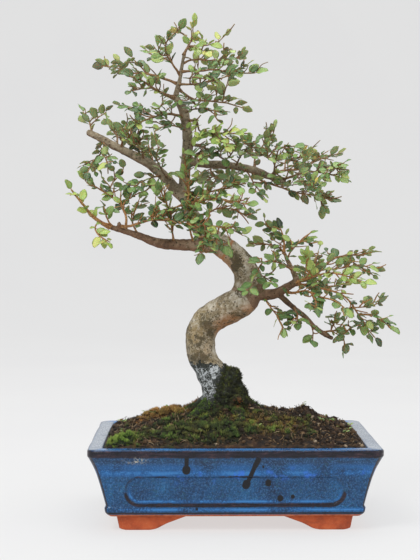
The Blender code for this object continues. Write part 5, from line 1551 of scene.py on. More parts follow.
def make_crumbs(material):
    """Loose crumbs, bits of bark and a few pale pebbles on the soil."""
    draw = random.Random(31)
    generator = np.random.default_rng(31)
    ball, faces = icosahedron()
    heap = Heap("tone")
    spots = []
    while len(spots) < CRUMB_SPOTS:
        x, y = on_soil(draw)
        if near_trunk(x, y):
            continue
        weight = 0.45 + 0.55 * math.exp(-((x - 80) / 40) ** 2)
        weight += 0.4 * math.exp(-((x - 66) / 9) ** 2 - ((y - 4) / 14) ** 2)
        if draw.random() < weight:
            spots.append((x, y))
    array = np.array(spots)
    growth, _ = moss_share(array[:, 0], array[:, 1])
    heights = soil_height(array[:, 0], array[:, 1])
    for (x, y), grown, height in zip(spots, growth, heights):
        if draw.random() < grown * 0.75:
            continue
        size = 0.5 + 1.9 * draw.random() ** 2.2
        pebble = draw.random() < (0.05 if -50 < x < -28 and y < -60 else 0.0012)
        if pebble:
            size = draw.uniform(1.3, 2.2)
        rough = 1 + (0.12 if pebble else 0.34) * generator.normal(size=len(ball))
        stretch = np.array([draw.uniform(0.8, 1.7), draw.uniform(0.7, 1.1), draw.uniform(0.5, 0.9)]) * size
        spin = Matrix.Rotation(draw.uniform(0, 6.3), 3, "Z")
        lean = Matrix.Rotation(draw.uniform(-0.5, 0.5), 3, "X")
        turn = np.array(spin @ lean)
        points = (ball * rough[:, None] * stretch) @ turn.T + np.array([x, y, height + size * 0.15])
        tone = 0.97 if pebble else min(max(draw.gauss(0.42, 0.24), 0.0), 0.85)
        heap.add(points.tolist(), faces, tone=tone)
    return heap.piece("soil_crumbs", [material], slot="soil")


def fibre_path(draw, standing):
    """A dead root or stem as places on the soil and heights above it, or None where it has no room."""
    x, y = on_soil(draw, 4)
    if near_trunk(x, y):
        return None
    heading = draw.uniform(0, 2 * math.pi)
    length = draw.uniform(2.5, 6) if standing else draw.choice((5, 6, 7, 8, 9, 16)) * draw.uniform(0.7, 1.1)
    pieces = 2 if standing else 5
    bend = draw.gauss(0, 0.16)
    climb = draw.uniform(0.25, 0.75) * length if standing else draw.uniform(0.3, 1.6)
    places = []
    for step in range(pieces + 1):
        share = step / pieces
        lift = climb * share ** 0.8 if standing else climb * math.sin(math.pi * share)
        places.append((x, y, lift))
        reach = length * (0.7 if standing else 1.0) / pieces
        x += math.cos(heading) * reach
        y += math.sin(heading) * reach
        heading += bend + draw.uniform(-0.25, 0.25)
    return places


# Where the weeds stand
SEEDLINGS = [
    (-101, 20), (-98, 14), (-71, -8), (-58, 2), (62, -2), (84, -26), (88, -22), (92, -34), (78, -30),
    (96, -48), (100, -40), (104, -20), (-30, -66), (-96, -48), (20, -58), (40, 52), (-50, 60), (-80, 40),
    (90, 50), (8, 66),
]


def make_litter(material):
    """Dead roots and stems that lie over the soil or stand up from it."""
    draw = random.Random(43)
    heap = Heap("tone")
    for number in range(LITTER_SPOTS):
        standing = number % 3 > 0
        places = fibre_path(draw, standing)
        if places is None:
            continue
        array = np.clip(np.array(places), (-109, -76.5, 0), (109, 76.5, 9))
        heights = soil_height(array[:, 0], array[:, 1])
        path = [Vector((a, b, height + 0.2 + lift)) for (a, b, lift), height in zip(array, heights)]
        if any((after - before).length < 0.2 for before, after in zip(path, path[1:])):
            continue
        thick = draw.uniform(0.18, 0.32) if standing else draw.uniform(0.18, 0.36)
        radii = [thick * (1 - 0.5 * step / len(path)) for step in range(len(path))]
        points, faces = tube(path, radii, 3)
        left = 0.12 if path[0].x < -30 else 0.0
        heap.add(points, faces, tone=min(draw.random() ** 1.9 + left, 0.95))
    return heap.piece("soil_litter", [material], slot="soil")


def make_seedlings(stem_look, leaf_look):
    """A few tiny weeds that have come up in the soil, each a stem with three to five round leaves."""
    draw = random.Random(83)
    heap = Heap("across", "along", "under", "tone", "stalk")
    for x, y in SEEDLINGS:
        height = float(soil_height(np.array([x]), np.array([y]))[0])
        foot = Vector((x, y, height - 0.5))
        knee = Vector((x + draw.uniform(-1, 1), y, height + draw.uniform(2, 4)))
        top = knee + Vector((draw.uniform(-1.5, 1.5), draw.uniform(-1, 1), draw.uniform(1.5, 3.5)))
        stem = [foot, knee, top]
        points, faces = tube(stem, [0.3, 0.26, 0.2], 5)
        heap.add(points, faces, kind=1, across=0, along=0, under=0.5, tone=0.6, stalk=0.3)
        for _ in range(draw.randint(3, 5)):
            angle = draw.uniform(0, 2 * math.pi)
            along = Vector((math.cos(angle), math.sin(angle), draw.uniform(0.1, 0.7))).normalized()
            up = (Vector((0, 0, 1)) - along * along.z).normalized()
            length = draw.uniform(2.6, 4.6)
            pose = (stem[1].lerp(stem[2], draw.random()), along, up, length, length * 0.6)
            points, faces, marks = blade(pose, draw, pose[0], draw.uniform(0.5, 0.85))
            heap.add(points, faces, kind=0, **marks)
    return heap.piece("seedlings", [leaf_look, stem_look], slot="moss")


def moss_shoot(heap, spot, up, size, draw, tone, dry, spikes=3):
    """A tiny moss shoot of a few closed spikes that spread from one foot."""
    side = up.orthogonal().normalized()
    other = up.cross(side)
    turn = draw.uniform(0, 2 * math.pi)
    for number in range(spikes):
        angle = turn + 2 * math.pi * number / spikes + draw.uniform(-0.5, 0.5)
        out = side * math.cos(angle) + other * math.sin(angle)
        lean = draw.uniform(0.25, 0.9)
        tip = spot + (up + out * lean).normalized() * size * draw.uniform(0.7, 1.15)
        across = up.cross(out) * size * 0.17
        foot = spot - up * size * 0.25
        points = [foot + across, foot - across, foot + out * size * 0.3, tip]
        shade = min(max(tone + draw.uniform(-0.12, 0.12), 0), 1)
        values = [shade * 0.6, shade * 0.6, shade * 0.6, min(shade * 1.25, 1.0)]
        heap.add(points, [(0, 2, 1), (0, 1, 3), (1, 2, 3), (2, 0, 3)], tone=values, dry=dry)


def tuft_share(x, y):
    """How far a place is inside a moss tuft, from 0 in the gaps to 1 on top."""
    flat = np.column_stack([x, y, np.full(len(x), 6.0)])
    return smoothstep(-0.20, 0.35, ROUGH(flat / 3.6) + 0.35 * ROUGH(flat / 9))


def make_moss_carpet(material):
    """Low moss that grows over the soil in tufts and patches."""
    draw = random.Random(57)
    spots = [on_soil(draw, 1.5) for _ in range(CARPET_SPOTS)]
    array = np.array(spots)
    growth, dry = moss_share(array[:, 0], array[:, 1])
    tuft = tuft_share(array[:, 0], array[:, 1])
    kept = growth ** 1.6 * tuft
    chosen = [i for i in range(len(spots)) if draw.random() < kept[i] and not near_trunk(*spots[i])]
    heights = soil_height(array[chosen, 0], array[chosen, 1])
    heap = Heap("tone", "dry")
    for index, height in zip(chosen, heights):
        x, y = spots[index]
        up = Vector((draw.uniform(-0.5, 0.5), draw.uniform(-0.5, 0.5), 1)).normalized()
        patch = noise(Vector((x / 8, y / 8, 1.5)))
        tone = 0.02 + 0.45 * patch + 0.42 * tuft[index] * growth[index] + 0.25 * draw.random()
        shoot_dry = min(max(dry[index] + draw.uniform(-0.25, 0.2), 0), 1)
        foot = Vector((x, y, height + 0.9 * tuft[index]))
        moss_shoot(heap, foot, up, draw.uniform(1.2, 2.2) + 1.2 * tuft[index], draw, tone, shoot_dry)
    return heap.piece("moss_carpet", [material], slot="moss")


def cushion_body(values, turn, seed):
    """A low closed dome on the soil: points, faces, the count on top and how far each is in a tuft."""
    x, y, half_length, half_width, height, _ = values
    around, rings = CUSHION_SIDES, CUSHION_RINGS
    flat = []
    for ring in range(rings):
        share = 1 - ring / rings
        for step in range(around):
            angle = 2 * math.pi * step / around
            ragged = 1 + 0.07 * noise(Vector((math.cos(angle) * 2.2, math.sin(angle) * 2.2, seed)))
            oval = Vector((half_length * share * math.cos(angle), half_width * share * math.sin(angle)))
            spot = turn @ oval * ragged
            flat.append((x + spot.x, y + spot.y, share))
    flat.append((x, y, 0.0))
    array = np.array(flat)
    ground = soil_height(array[:, 0], array[:, 1])
    dome = np.clip(1 - array[:, 2] ** 3.0, 0, 1) ** 0.6
    tufts = tuft_share(array[:, 0], array[:, 1])
    lift = dome * height * (0.35 + 0.75 * tufts) - 0.8
    points = np.column_stack([array[:, :2], ground + lift])
    faces = ring_faces(rings, around)
    centre = rings * around
    last = (rings - 1) * around
    faces += [(last + step, last + (step + 1) % around, centre) for step in range(around)]
    floor = float(points[:around, 2].min()) - 1.0
    rim = points[:around].copy()
    rim[:, 2] = floor
    start = len(points)
    points = np.concatenate([points, rim])
    faces += [((i + 1) % around, i, start + i, start + (i + 1) % around) for i in range(around)]
    faces.append(tuple(start + i for i in range(around - 1, -1, -1)))
    return points, faces, centre, tufts


def make_cushion(name, values, count, dry_level, tone_level, seed, material):
    """One moss cushion: a lumpy closed body under a dense coat of shoots."""
    x, y, half_length, half_width, _, degrees = values
    draw = random.Random(seed)
    turn = Matrix.Rotation(math.radians(degrees), 2)
    points, faces, centre, tufts = cushion_body(values, turn, seed)
    heap = Heap("tone", "dry")
    heap.add(points.tolist(), faces, tone=tone_level * 0.3, dry=dry_level * 0.5)
    tree = KDTree(centre)
    for index in range(centre):
        tree.insert((points[index][0], points[index][1], 0), index)
    tree.balance()
    for _ in range(count):
        angle = draw.uniform(0, 2 * math.pi)
        share = math.sqrt(draw.random()) * 1.03
        oval = Vector((half_length * share * math.cos(angle), half_width * share * math.sin(angle)))
        flat_spot = turn @ oval
        _, index, _ = tree.find((x + flat_spot.x, y + flat_spot.y, 0))
        spot = Vector((x + flat_spot.x, y + flat_spot.y, points[index][2] - 0.1))
        out = Vector((flat_spot.x / half_length, flat_spot.y / half_width, 0)) * share * 0.7
        lean = Vector((draw.uniform(-0.3, 0.3), draw.uniform(-0.3, 0.3), 0))
        up = (Vector((0, 0, 1)) + out + lean).normalized()
        patch = noise(Vector((spot.x / 7, spot.y / 7, seed)))
        high = tufts[index]
        if draw.random() > 0.3 + 0.7 * high:
            continue
        tone = tone_level - 0.22 + 0.36 * high + 0.28 * patch + draw.uniform(-0.14, 0.14)
        dry = min(max(dry_level + 0.35 * noise(Vector((spot.x / 10, spot.y / 10, seed + 5))), 0), 1)
        moss_shoot(heap, spot, up, draw.uniform(1.2, 2.2) + 1.2 * high, draw, tone, dry)
    return heap.piece(name + "_cushion", [material], replaced=[name], slot="moss")


# Surface roots that spread from the trunk's foot: points of x, y, z and radii, in millimetres
ROOTS = [
    ([(-16, -2, 109), (-26, -4, 101), (-36, -5, 95.5), (-49, -6, 91)], [9, 6.5, 4.0, 1.8]),
    ([(0, 0, 108), (9, 3, 99.5), (21, 5, 94), (35, 6, 90)], [9, 6.0, 4.2, 1.8]),
    ([(-4, -8, 107), (0, -17, 99), (5, -28, 93), (9, -41, 89)], [9, 6.5, 4.2, 1.8]),
    ([(-14, 8, 108), (-20, 19, 99), (-27, 30, 93.5), (-33, 44, 90)], [9, 6.5, 4.4, 1.8]),
    ([(2, 8, 106), (9, 17, 98), (18, 26, 93), (27, 34, 89)], [8, 6, 4.0, 1.8]),
    ([(-16, -8, 106), (-24, -17, 98.5), (-32, -25, 93.5), (-40, -32, 90)], [8, 6, 4.0, 1.8]),
]
WOOD_VOXEL = 0.0009
TRUNK_TOP = 80.0


def grey_bark(shade, mixed, grain_edge, underside):
    """Grey bark of the trunk, tan in places and on the lower bend, and orange underneath."""
    grey = shade.ramp(
        mixed, [(0.36, "5d4f3a"), (0.45, "86795f"), (0.52, "aaa08c"), (0.62, "c8c1b2"), (0.74, "dcd7cd")])
    tan_cloud = shade.noise(30, 3.0, 0.6, shade.stretched(1.0, 1.0, 0.7))
    tan = shade.range(tan_cloud + grain_edge * 0.3, 0.48, 0.66)
    grey = shade.mix(tan * 0.45, grey, "96784a")
    bend = shade.value("bend") * shade.range(mixed, 0.36, 0.62, 0.9, 0.35)
    grey = shade.mix(bend, grey, "877548")
    return shade.mix(underside * 0.75, grey, "a66a33")


def bough_bark(shade, mixed, underside):
    """Browner bark of the boughs, redder on the low ones."""
    warm = shade.value("warm")
    plain_bough = shade.ramp(mixed, [(0.36, "4f4434"), (0.46, "756953"), (0.54, "8f836c"), (0.66, "aca28c")])
    red_bough = shade.ramp(mixed, [(0.36, "4a3425"), (0.50, "775740"), (0.64, "9c7f63")])
    bough = shade.mix(warm, plain_bough, red_bough)
    return shade.mix(underside * 0.5, bough, "6b4024")


def algae_and_specks(shade, colour, mixed, grain, grain_edge):
    """Olive algae, dark specks and brown dust over bark."""
    olive_edge = shade.value("olive") + (mixed - 0.5) * 1.6
    olive_edge = olive_edge + grain_edge
    olive = shade.range(olive_edge, 0.38, 0.66)
    olive_tone = shade.ramp(grain, [(0.34, "221c0f"), (0.52, "43391f"), (0.7, "6b5d38")])
    colour = shade.mix(olive * 0.9, colour, olive_tone)
    specks = shade.range(shade.cells(310), 0.15, 0.32, 1.0, 0.0)
    speck_area = shade.range(shade.noise(95, 3.0, 0.6), 0.38, 0.50)
    colour = shade.mix(specks * speck_area * 0.92, colour, "3a2e1a")
    dust = shade.range(grain, 0.56, 0.68)
    dust_area = 0.25 + shade.value("olive") * 0.6
    return shade.mix(dust * dust_area, colour, "4a3d20")


def dark_foot(shade, colour, fine, grain):
    """Charcoal bark at the trunk's foot, with white flakes and moss."""
    dark = shade.value("dark") + (fine - 0.5) * 1.6
    charcoal = shade.ramp(grain, [(0.35, "0f110f"), (0.52, "242722"), (0.68, "454941")])
    colour = shade.mix(shade.range(dark, 0.42, 0.60), colour, charcoal)
    flake = shade.noise(600, 7.0, 0.92, distortion=0.3)
    flake_area = shade.range(shade.noise(150, 4.0, 0.65), 0.42, 0.58)
    lime = shade.value("lime") * (0.25 + flake_area * 0.75)
    lime_edge = flake + lime * 0.11
    limed = shade.range(lime_edge, 0.575, 0.605) * shade.range(lime, 0.05, 0.3)
    colour = shade.mix(limed, colour, "b2b7b9")
    moss = shade.value("moss") + (fine - 0.5) * 0.8
    green = shade.ramp(
        shade.noise(420, 3.0, 0.7), [(0.32, "10120a"), (0.5, "21251a"), (0.62, "3a4522"), (0.78, "63742f")])
    return shade.mix(shade.range(moss, 0.46, 0.66), colour, green)


def bark_material():
    shade = Shade("bark", 0.86)
    girth = shade.value("girth")
    cloud = shade.noise(62, 4.0, 0.62)
    fine = shade.noise(330, 4.0, 0.68)
    grain = shade.noise(900, 3.0, 0.7)
    mixed = cloud * 0.5 + fine * 0.5
    grain_edge = (grain - 0.5) * 1.5
    underside = shade.value("under") * shade.range(cloud, 0.3, 0.55)
    bough = bough_bark(shade, mixed, underside)
    grey = grey_bark(shade, mixed, grain_edge, underside)
    colour = shade.mix(shade.range(girth, 4.8, 8.5), bough, grey)
    colour = algae_and_specks(shade, colour, mixed, grain, grain_edge)
    ring = shade.noise(1.0, 2.0, 0.5, shade.stretched(60, 60, 420))
    colour = shade.mix(shade.range(ring, 0.58, 0.7) * 0.25, colour, "6a5236")
    pale_spot = shade.range(shade.noise(210, 3.0, 0.6), 0.60, 0.70)
    colour = shade.mix(pale_spot * 0.18, colour, "c6c1b7")
    colour = dark_foot(shade, colour, fine, grain)
    colour = shade.mix(shade.value("rust"), colour, "a5622c")
    shade.set(Base_Color=colour)
    shade.set(Roughness=shade.range(fine, 0.3, 0.7, 0.72, 0.92))
    shade.bump(fine, 0.5, 0.0010)
    shade.bump(grain, 0.35, 0.0005)
    shade.bump(ring, 0.15, 0.0005)
    return shade.material


def remesh(item, voxel, rounds):
    """Make one even skin of overlapping closed forms, and smooth it."""
    modifier = item.modifiers.new("skin", "REMESH")
    modifier.mode = "VOXEL"
    modifier.voxel_size = voxel
    smooth = item.modifiers.new("smooth", "SMOOTH")
    smooth.factor = 0.5
    smooth.iterations = rounds
    graph = bpy.context.evaluated_depsgraph_get()
    mesh = bpy.data.meshes.new_from_object(item.evaluated_get(graph))
    item.modifiers.clear()
    old = item.data
    item.data = mesh
    bpy.data.meshes.remove(old)
    mesh.shade_smooth()


def soft_spot(points, middle, reach):
    """1 in the middle of a spot and 0 outside it."""
    gap = (points - np.array(middle)) / np.array(reach)
    return np.exp(-np.sum(gap ** 2, axis=1))


# Dark algae on the bark: strength, middle and half sizes in millimetres
OLIVE_PATCHES = [
    (1.0, (-24, -14, 172), (8, 14, 8)), (1.0, (-18, -14, 163), (8, 14, 9)),
    (1.0, (-14, -12, 154), (6, 12, 8)), (0.8, (-30, -12, 157), (5, 14, 11)),
    (0.95, (-31, -8, 141), (13, 14, 7)), (0.75, (-42, -8, 152), (6, 14, 18)),
    (0.8, (4, -8, 181), (12, 12, 4)), (1.0, (3, -12, 226), (6, 14, 12)),
    (0.8, (16, -4, 234), (6, 12, 9)), (0.7, (-42, -2, 170), (5, 14, 17)),
    (0.7, (-20, 14, 160), (12, 10, 20)), (0.8, (8, 12, 205), (10, 10, 16)),
    (0.6, (-16, 12, 262), (9, 9, 20)), (0.6, (-20, -10, 196), (14, 8, 4)),
    (0.7, (-8, -12, 239), (6, 12, 6)),
]


def wood_skin(nodes, material):
    """One even skin round trunk, boughs and roots, and the points along them with radius and warmth."""
    heap = Heap()
    samples = []
    for limb in nodes["tree_wood"]:
        if limb.name.endswith("_collar") and limb.name != "mid_right_collar":
            continue
        points, radii = smooth_path(limb.points, limb.radii, 2.5)
        if limb.name == "trunk":
            kept = [i for i, point in enumerate(points) if point.z > TRUNK_TOP]
            points = [points[i] for i in kept]
            radii = [radii[i] for i in kept]
        corners, faces = tube(points, radii, 40 if radii[0] > 8 else 24)
        heap.add(corners, faces)
        warm = 0.85 if limb.name.startswith(("low_left", "low_right")) else 0.15
        samples += [(point, radius, warm) for point, radius in zip(points, radii)]
    for route, radii in ROOTS:
        points, fine_radii = smooth_path([Vector(point) for point in route], radii, 2.5)
        corners, faces = tube(points, fine_radii, 20)
        heap.add(corners, faces)
    item = heap.piece("tree_bark", [material], replaced=["tree_wood"], slot="bark")
    remesh(item, WOOD_VOXEL, 4)
    item.data.materials.clear()
    item.data.materials.append(material)
    return item, samples


def bark_relief(place, girth):
    """How far the bark stands out at each place, and where the burl and the groove are."""
    big = smoothstep(4.0, 12.0, girth)
    low = smoothstep(136, 118, place[:, 2])
    burl = low * smoothstep(-16, -8, place[:, 0] + 0.3 * (124 - place[:, 2]) + 3 * ROUGH(place / 4))
    bough = smoothstep(0.8, 3.0, girth)
    push = ROUGH.layers(place / 13, 2) * (0.3 * bough + 0.45 * big)
    push += ROUGH.layers(place / 4.5, 2) * (0.06 + 0.26 * bough - 0.06 * big)
    push += ROUGH.layers(place / 1.8, 2) * (0.05 + 0.08 * big)
    push += burl * (ROUGH.layers(place / 5.0 + 9, 3) * 2.3 + np.abs(ROUGH(place / 2.4 + 3)) * 1.3 + 0.2)
    flute = np.abs(ROUGH(place / np.array([9, 9, 46]) + 4)) * 1.5
    push -= flute * big * smoothstep(150, 118, place[:, 2])
    scars = []
    for start_x, start_z in ((-118, 337), (-4, 240), (-62, 243.5), (26, 306)):
        scars.append(np.exp(-((np.hypot(place[:, 0] - start_x, place[:, 2] - start_z) - 4.5) / 1.3) ** 2))
    push += 0.25 * np.maximum.reduce(scars)
    groove = np.abs((place[:, 0] + 4.5) * 0.86 + (place[:, 2] - 239) * -0.5)
    within = (np.abs(place[:, 2] - 239) < 14) * (np.abs(place[:, 0] + 4.5) < 14)
    groove = np.exp(-(groove / 1.2) ** 2) * within
    push -= 0.5 * groove
    return push, burl, groove


def bark_marks(place, normal, girth, warm, burl, groove):
    """How dark, mossy, limed, olive, rusty and tan the bark is at each place, 0 to 1."""
    x, _, z = place.T
    dark_top = z + 0.16 * x + 5 * ROUGH(place / 7) + 3 * ROUGH(place / 2.2)
    dark = smoothstep(136, 129, dark_top) * smoothstep(86, 94, z)
    stump = smoothstep(-15, -7, x + 0.3 * (124 - z) + 2 * ROUGH(place / 5)) * smoothstep(146, 138, z)
    dark = np.maximum(dark, stump * smoothstep(86, 94, z))
    moss = np.maximum(burl, 0.85 * stump) * (0.92 + 0.6 * ROUGH(place / 6))
    moss = np.maximum(moss, smoothstep(105, 97, z) * 0.75)
    moss = np.maximum(moss, 0.8 * soft_spot(place, (-26, -16, 101), (9, 14, 6)))
    ragged = 4 * ROUGH(place / 6 + 1)
    lime_side = smoothstep(-7, -16, x + ragged + 0.3 * (130 - z))
    lime = dark * lime_side * smoothstep(101, 112, z + ragged) * smoothstep(137, 132, z + ragged)
    bend = smoothstep(-28, -44, x + 0.4 * (150 - z)) * smoothstep(198, 180, z)
    bend *= 0.8 + 0.4 * ROUGH(place / 8)
    torn = np.column_stack([ROUGH(place / 5 + 3), ROUGH(place / 5 + 13), ROUGH(place / 5 + 23)])
    torn = place + 4.5 * torn
    olive = np.maximum.reduce([
        share * soft_spot(torn, middle, reach) for share, middle, reach in OLIVE_PATCHES])
    olive = np.maximum(olive, 0.5 * smoothstep(300, 200, z) * (ROUGH(place / 11) > 0.15))
    under = smoothstep(-0.05, -0.7, normal[:, 2]) * smoothstep(130, 150, z)
    rust = np.maximum(soft_spot(place, (7, -30, 103), (6, 8, 4)), 0.75 * groove)
    return {
        "girth": girth, "warm": warm, "dark": dark, "moss": moss, "lime": lime, "olive": olive,
        "under": under,
        "rust": rust, "bend": bend}


def make_wood(nodes, material):
    """Trunk, boughs and surface roots as one skin with bark relief."""
    item, samples = wood_skin(nodes, material)
    place = vertex_array(item.data) / MM
    normal = normal_array(item.data)
    tree = KDTree(len(samples))
    for index, sample in enumerate(samples):
        tree.insert(sample[0], index)
    tree.balance()
    nearest = [samples[tree.find(point)[1]] for point in place]
    girth = np.array([radius for _, radius, _ in nearest])
    warm = np.array([level for _, _, level in nearest])
    push, burl, groove = bark_relief(place, girth)
    move_vertices(item.data, (place + normal * push[:, None]) * MM)
    for name, values in bark_marks(place, normal, girth, warm, burl, groove).items():
        paint(item, name, values)
    return item


def make_trunk_moss(wood, material):
    """Moss shoots on the trunk's foot, where its skin is marked as mossy."""
    draw = random.Random(71)
    place = vertex_array(wood.data) / MM
    normal = normal_array(wood.data)
    moss = np.empty(len(place), np.float32)
    wood.data.attributes["moss"].data.foreach_get("value", moss)
    chosen = np.nonzero((moss > 0.42) & (place[:, 2] > 90))[0]
    heap = Heap("tone", "dry")
    for index in draw.sample(list(chosen), min(len(chosen), TRUNK_MOSS_SHOOTS)):
        spot = Vector(place[index])
        lean = Vector((draw.uniform(-0.4, 0.4), draw.uniform(-0.4, 0.4), 0.3))
        up = (Vector(normal[index]) + lean).normalized()
        left = spot.x < -16 or spot.z < 100
        tone = (0.62 if left else 0.32) + 0.5 * noise(spot / 5) + draw.uniform(-0.1, 0.15)
        size = draw.uniform(0.8, 2.2) * (1.0 if left else 1.25)
        moss_shoot(heap, spot, up, size, draw, tone, 0.0 if left else 0.2)
    return heap.piece("trunk_moss", [material], slot="moss")


def leaf_material(name, lime):
    shade = Shade(name, 0.45)
    tone = shade.value("tone")
    if lime:
        face = shade.ramp(tone, [(0.0, "62803a"), (0.4, "84a04d"), (0.75, "a2b95f"), (1.0, "c5bf68")])
    else:
        face = shade.ramp(tone, [
            (0.0, "1f3420"), (0.22, "3a5732"), (0.45, "5b7e43"), (0.68, "809f57"), (0.86, "a5b868"),
            (1.0, "c9b558")])
    mottle = shade.noise(420, 3.0, 0.6)
    face = shade.mix(shade.range(mottle, 0.42, 0.70, 0.0, 0.15), face, "3a5c2a")
    across = abs(shade.value("across"))
    along = shade.value("along")
    wave = along * 9.0 - across * 1.6
    saw = abs(shade.math("FRACT", wave) - 0.5)
    vein = shade.range(saw, 0.42, 0.50)
    rib = shade.range(across, 0.03, 0.11, 1.0, 0.0)
    lines = shade.most(vein * 0.3, rib)
    face = shade.mix(lines * 0.32, face, "a4b974")
    under = shade.value("under")
    pale = shade.mix(0.3, face, "98aa80")
    colour = shade.mix(shade.range(under, 0.55, 0.9), face, pale)
    colour = shade.mix(shade.value("stalk"), colour, "94703f")
    shade.set(Base_Color=colour)
    shade.set(Roughness=shade.range(under, 0.3, 0.8, 0.40, 0.62))
    shade.set(Subsurface_Weight=0.15, Subsurface_Scale=0.002)
    shade.bump(lines, 0.25, 0.0003)
    shade.bump(mottle, 0.2, 0.0003)
    return shade.material


def twig_material():
    shade = Shade("twig", 0.75)
    fine = shade.noise(700, 3.0, 0.6)
    warm = shade.ramp(fine, [(0.32, "663f20"), (0.52, "9a6a38"), (0.72, "bd955e")])
    cool = shade.ramp(fine, [(0.30, "3a2f22"), (0.5, "64533e"), (0.72, "8d7b60")])
    colour = shade.mix(shade.value("warm"), cool, warm)
    green = shade.range(shade.value("tip"), 0.6, 1.0)
    colour = shade.mix(green * 0.4, colour, "85793c")
    dots = shade.range(shade.cells(900), 0.12, 0.25, 1.0, 0.0)
    colour = shade.mix(dots * 0.3, colour, "c4a884")
    shade.set(Base_Color=colour)
    shade.bump(fine, 0.35, 0.0004)
    return shade.material


# Cross sections of one blade, its half thickness in millimetres, and the points round a section: place
# across, lift as a share of the half thickness, and 0 on the upper side to 1 on the lower
BLADE_STATIONS = 8
BLADE_THICK = 0.12
BLADE_SECTION = (
    (-1.0, 0.0, 0.5), (-0.5, 0.8, 0.0), (0.0, 1.0, 0.0), (0.5, 0.8, 0.0),
    (1.0, 0.0, 0.5), (0.5, -0.8, 1.0), (0.0, -1.0, 1.0), (-0.5, -0.8, 1.0),
)
BLADE_START = 0.10


def blade(pose, draw, base_spot, tone):
    """A closed leaf blade with a fine-toothed margin, folded along its midrib, on a short stalk."""
    base, along, up, length, width = pose
    side = along.cross(up).normalized()
    up = side.cross(along).normalized()
    fold = draw.uniform(0.10, 0.34)
    arch = draw.uniform(-0.10, 0.16)
    twist = draw.uniform(-0.35, 0.35)
    points = []
    marks = {"across": [], "along": [], "under": [], "tone": [], "stalk": []}

    def put(spot, across, share, under, stalk=0.0):
        points.append(spot)
        for name, value in (
                ("across", across), ("along", share), ("under", under), ("tone", tone), ("stalk", stalk)):
            marks[name].append(value)

    def spot_at(share, across, half, lift):
        turn = twist * (share - 0.4)
        flat = side * math.cos(turn) + up * math.sin(turn)
        top = up * math.cos(turn) - side * math.sin(turn)
        reach = BLADE_START + (1 - BLADE_START) * share
        middle = base + along * length * reach + up * (0.05 - arch * (share - 0.45) ** 2) * length
        return middle + flat * half * across + top * (abs(across) * fold * half + lift)

    put(spot_at(0, 0, 0, 0.0), 0, 0, 0.5, 0.6)
    rings = []
    for station in range(1, BLADE_STATIONS):
        share = station / BLADE_STATIONS
        half = width / 2 * math.sin(math.pi * share ** 0.84) ** 0.66
        tooth = 1 + (0.022 if station % 2 else -0.022) * min(1.0, 4 * share * (1 - share) * 1.6)
        ring = []
        for across, lift, under in BLADE_SECTION:
            edge = abs(across) > 0.9
            ripple = 0.05 * width * math.sin(share * 9 + twist * 9 + across) if edge else 0.0
            reach = half * (tooth if edge else 1.0)
            ring.append(len(points))
            forward = share + (0.015 if edge else 0.0)
            put(spot_at(forward, across, reach, lift * BLADE_THICK + ripple), across, share, under)
        rings.append(ring)
    put(spot_at(1, 0, 0, 0.0), 0, 1, 0.5)
    tip = len(points) - 1
    faces = []
    for step in range(8):
        following = (step + 1) % 8
        faces.append((0, rings[0][step], rings[0][following]))
        faces.append((tip, rings[-1][following], rings[-1][step]))
        for lower, upper in zip(rings, rings[1:]):
            faces.append((lower[following], lower[step], upper[step], upper[following]))
    stalk_end = spot_at(0.06, 0, 0, -0.05)
    stalk = [base_spot, base_spot.lerp(stalk_end, 0.5) + up * 0.1, stalk_end]
    stalk_points, stalk_faces = tube(stalk, [0.42, 0.34, 0.26], 5)
    offset = len(points)
    for spot in stalk_points:
        put(spot, 0, 0, 0.5, 1.0)
    faces += [tuple(index + offset for index in face) for face in stalk_faces]
    return points, faces, marks


def twig_line(limb, mother):
    """A shoot's drawn centre line and radii, swollen at its mother and rougher than a plain rod."""
    points, radii = smooth_path(limb.points, limb.radii, 1.8)
    drawn = []
    widths = []
    for index, (point, radius) in enumerate(zip(points, radii)):
        outside = mother.clearance(point)
        swell = 0.92 + 0.5 * math.exp(-max(outside, 0) / 2.2)
        knot = 1 + 0.12 * noise(point / 2.3)
        wander = Vector((
            noise(point / 6), noise(point / 6 + Vector((7, 0, 0))), noise(point / 6 + Vector((0, 9, 0)))))
        calm = 0.0 if index == 0 else 0.45
        drawn.append(point + wander * calm)
        widths.append(max(radius * swell * knot, 0.34))
    return drawn, widths


def region_of(node):
    """The part of the tree that a spray belongs to."""
    for name in ("low_left", "cross", "mid_left", "upper_left", "low_right", "right", "crown"):
        if node.startswith("spray_" + name):
            return {"cross": "low_left", "upper_left": "mid_left"}.get(name, name)
    return "low_right"


def nearest_on(lines, limb, spot):
    """The point of a limb's drawn line that is nearest to a spot."""
    return min(lines[limb.name][0], key=lambda point: (point - spot).length_squared)


def leaf_tone(lime, draw, depth):
    """A leaf's tone: darker inside a shoot, as older leaves and painted shade, brighter at its tip; a few
    yellow.
    """
    if draw.random() < 0.007:
        return 1.0
    # Painted shade as well as age: the further inside a shoot a leaf sits, the darker its tone.
    tone = draw.gauss(0.45, 0.20) + 0.16 * (depth - 0.5)
    return min(max(tone + (0.08 if lime else 0.0), 0.0), 0.88)


# How many side twigs a shoot gets for each 10 mm of its leafy part, by the start of its node's name
TWIG_RATES = [
    ("spray_cross", 4.4), ("spray_low_left_tip", 0.3), ("spray_low_left", 1.3), ("spray_mid_left_root", 2.8),
    ("spray_mid_left_inner", 2.4), ("spray_mid_left", 1.3), ("spray_upper_left", 1.1), ("spray_right", 2.1),
    ("spray_low_right", 1.7), ("spray_bend", 0.3), ("spray_crown", 1.2),
]
# Shoots that are leafy from their foot, so that they hide the bough below them
LOW_LEAVED = ("spray_mid_left", "spray_upper_left", "spray_right", "spray_low_right")
CROSS_SHOOTS = ("spray_cross_low_a", "spray_cross_high_a", "spray_cross_front_a")
TWIG_LENGTH = (7.0, 19.0)
TWIG_LEAF_SPACING = 4.3
BARE_SHARE = 0.3
# How far extra leaves may reach beyond the solids' shoots and leaves
STRAY = 8.5


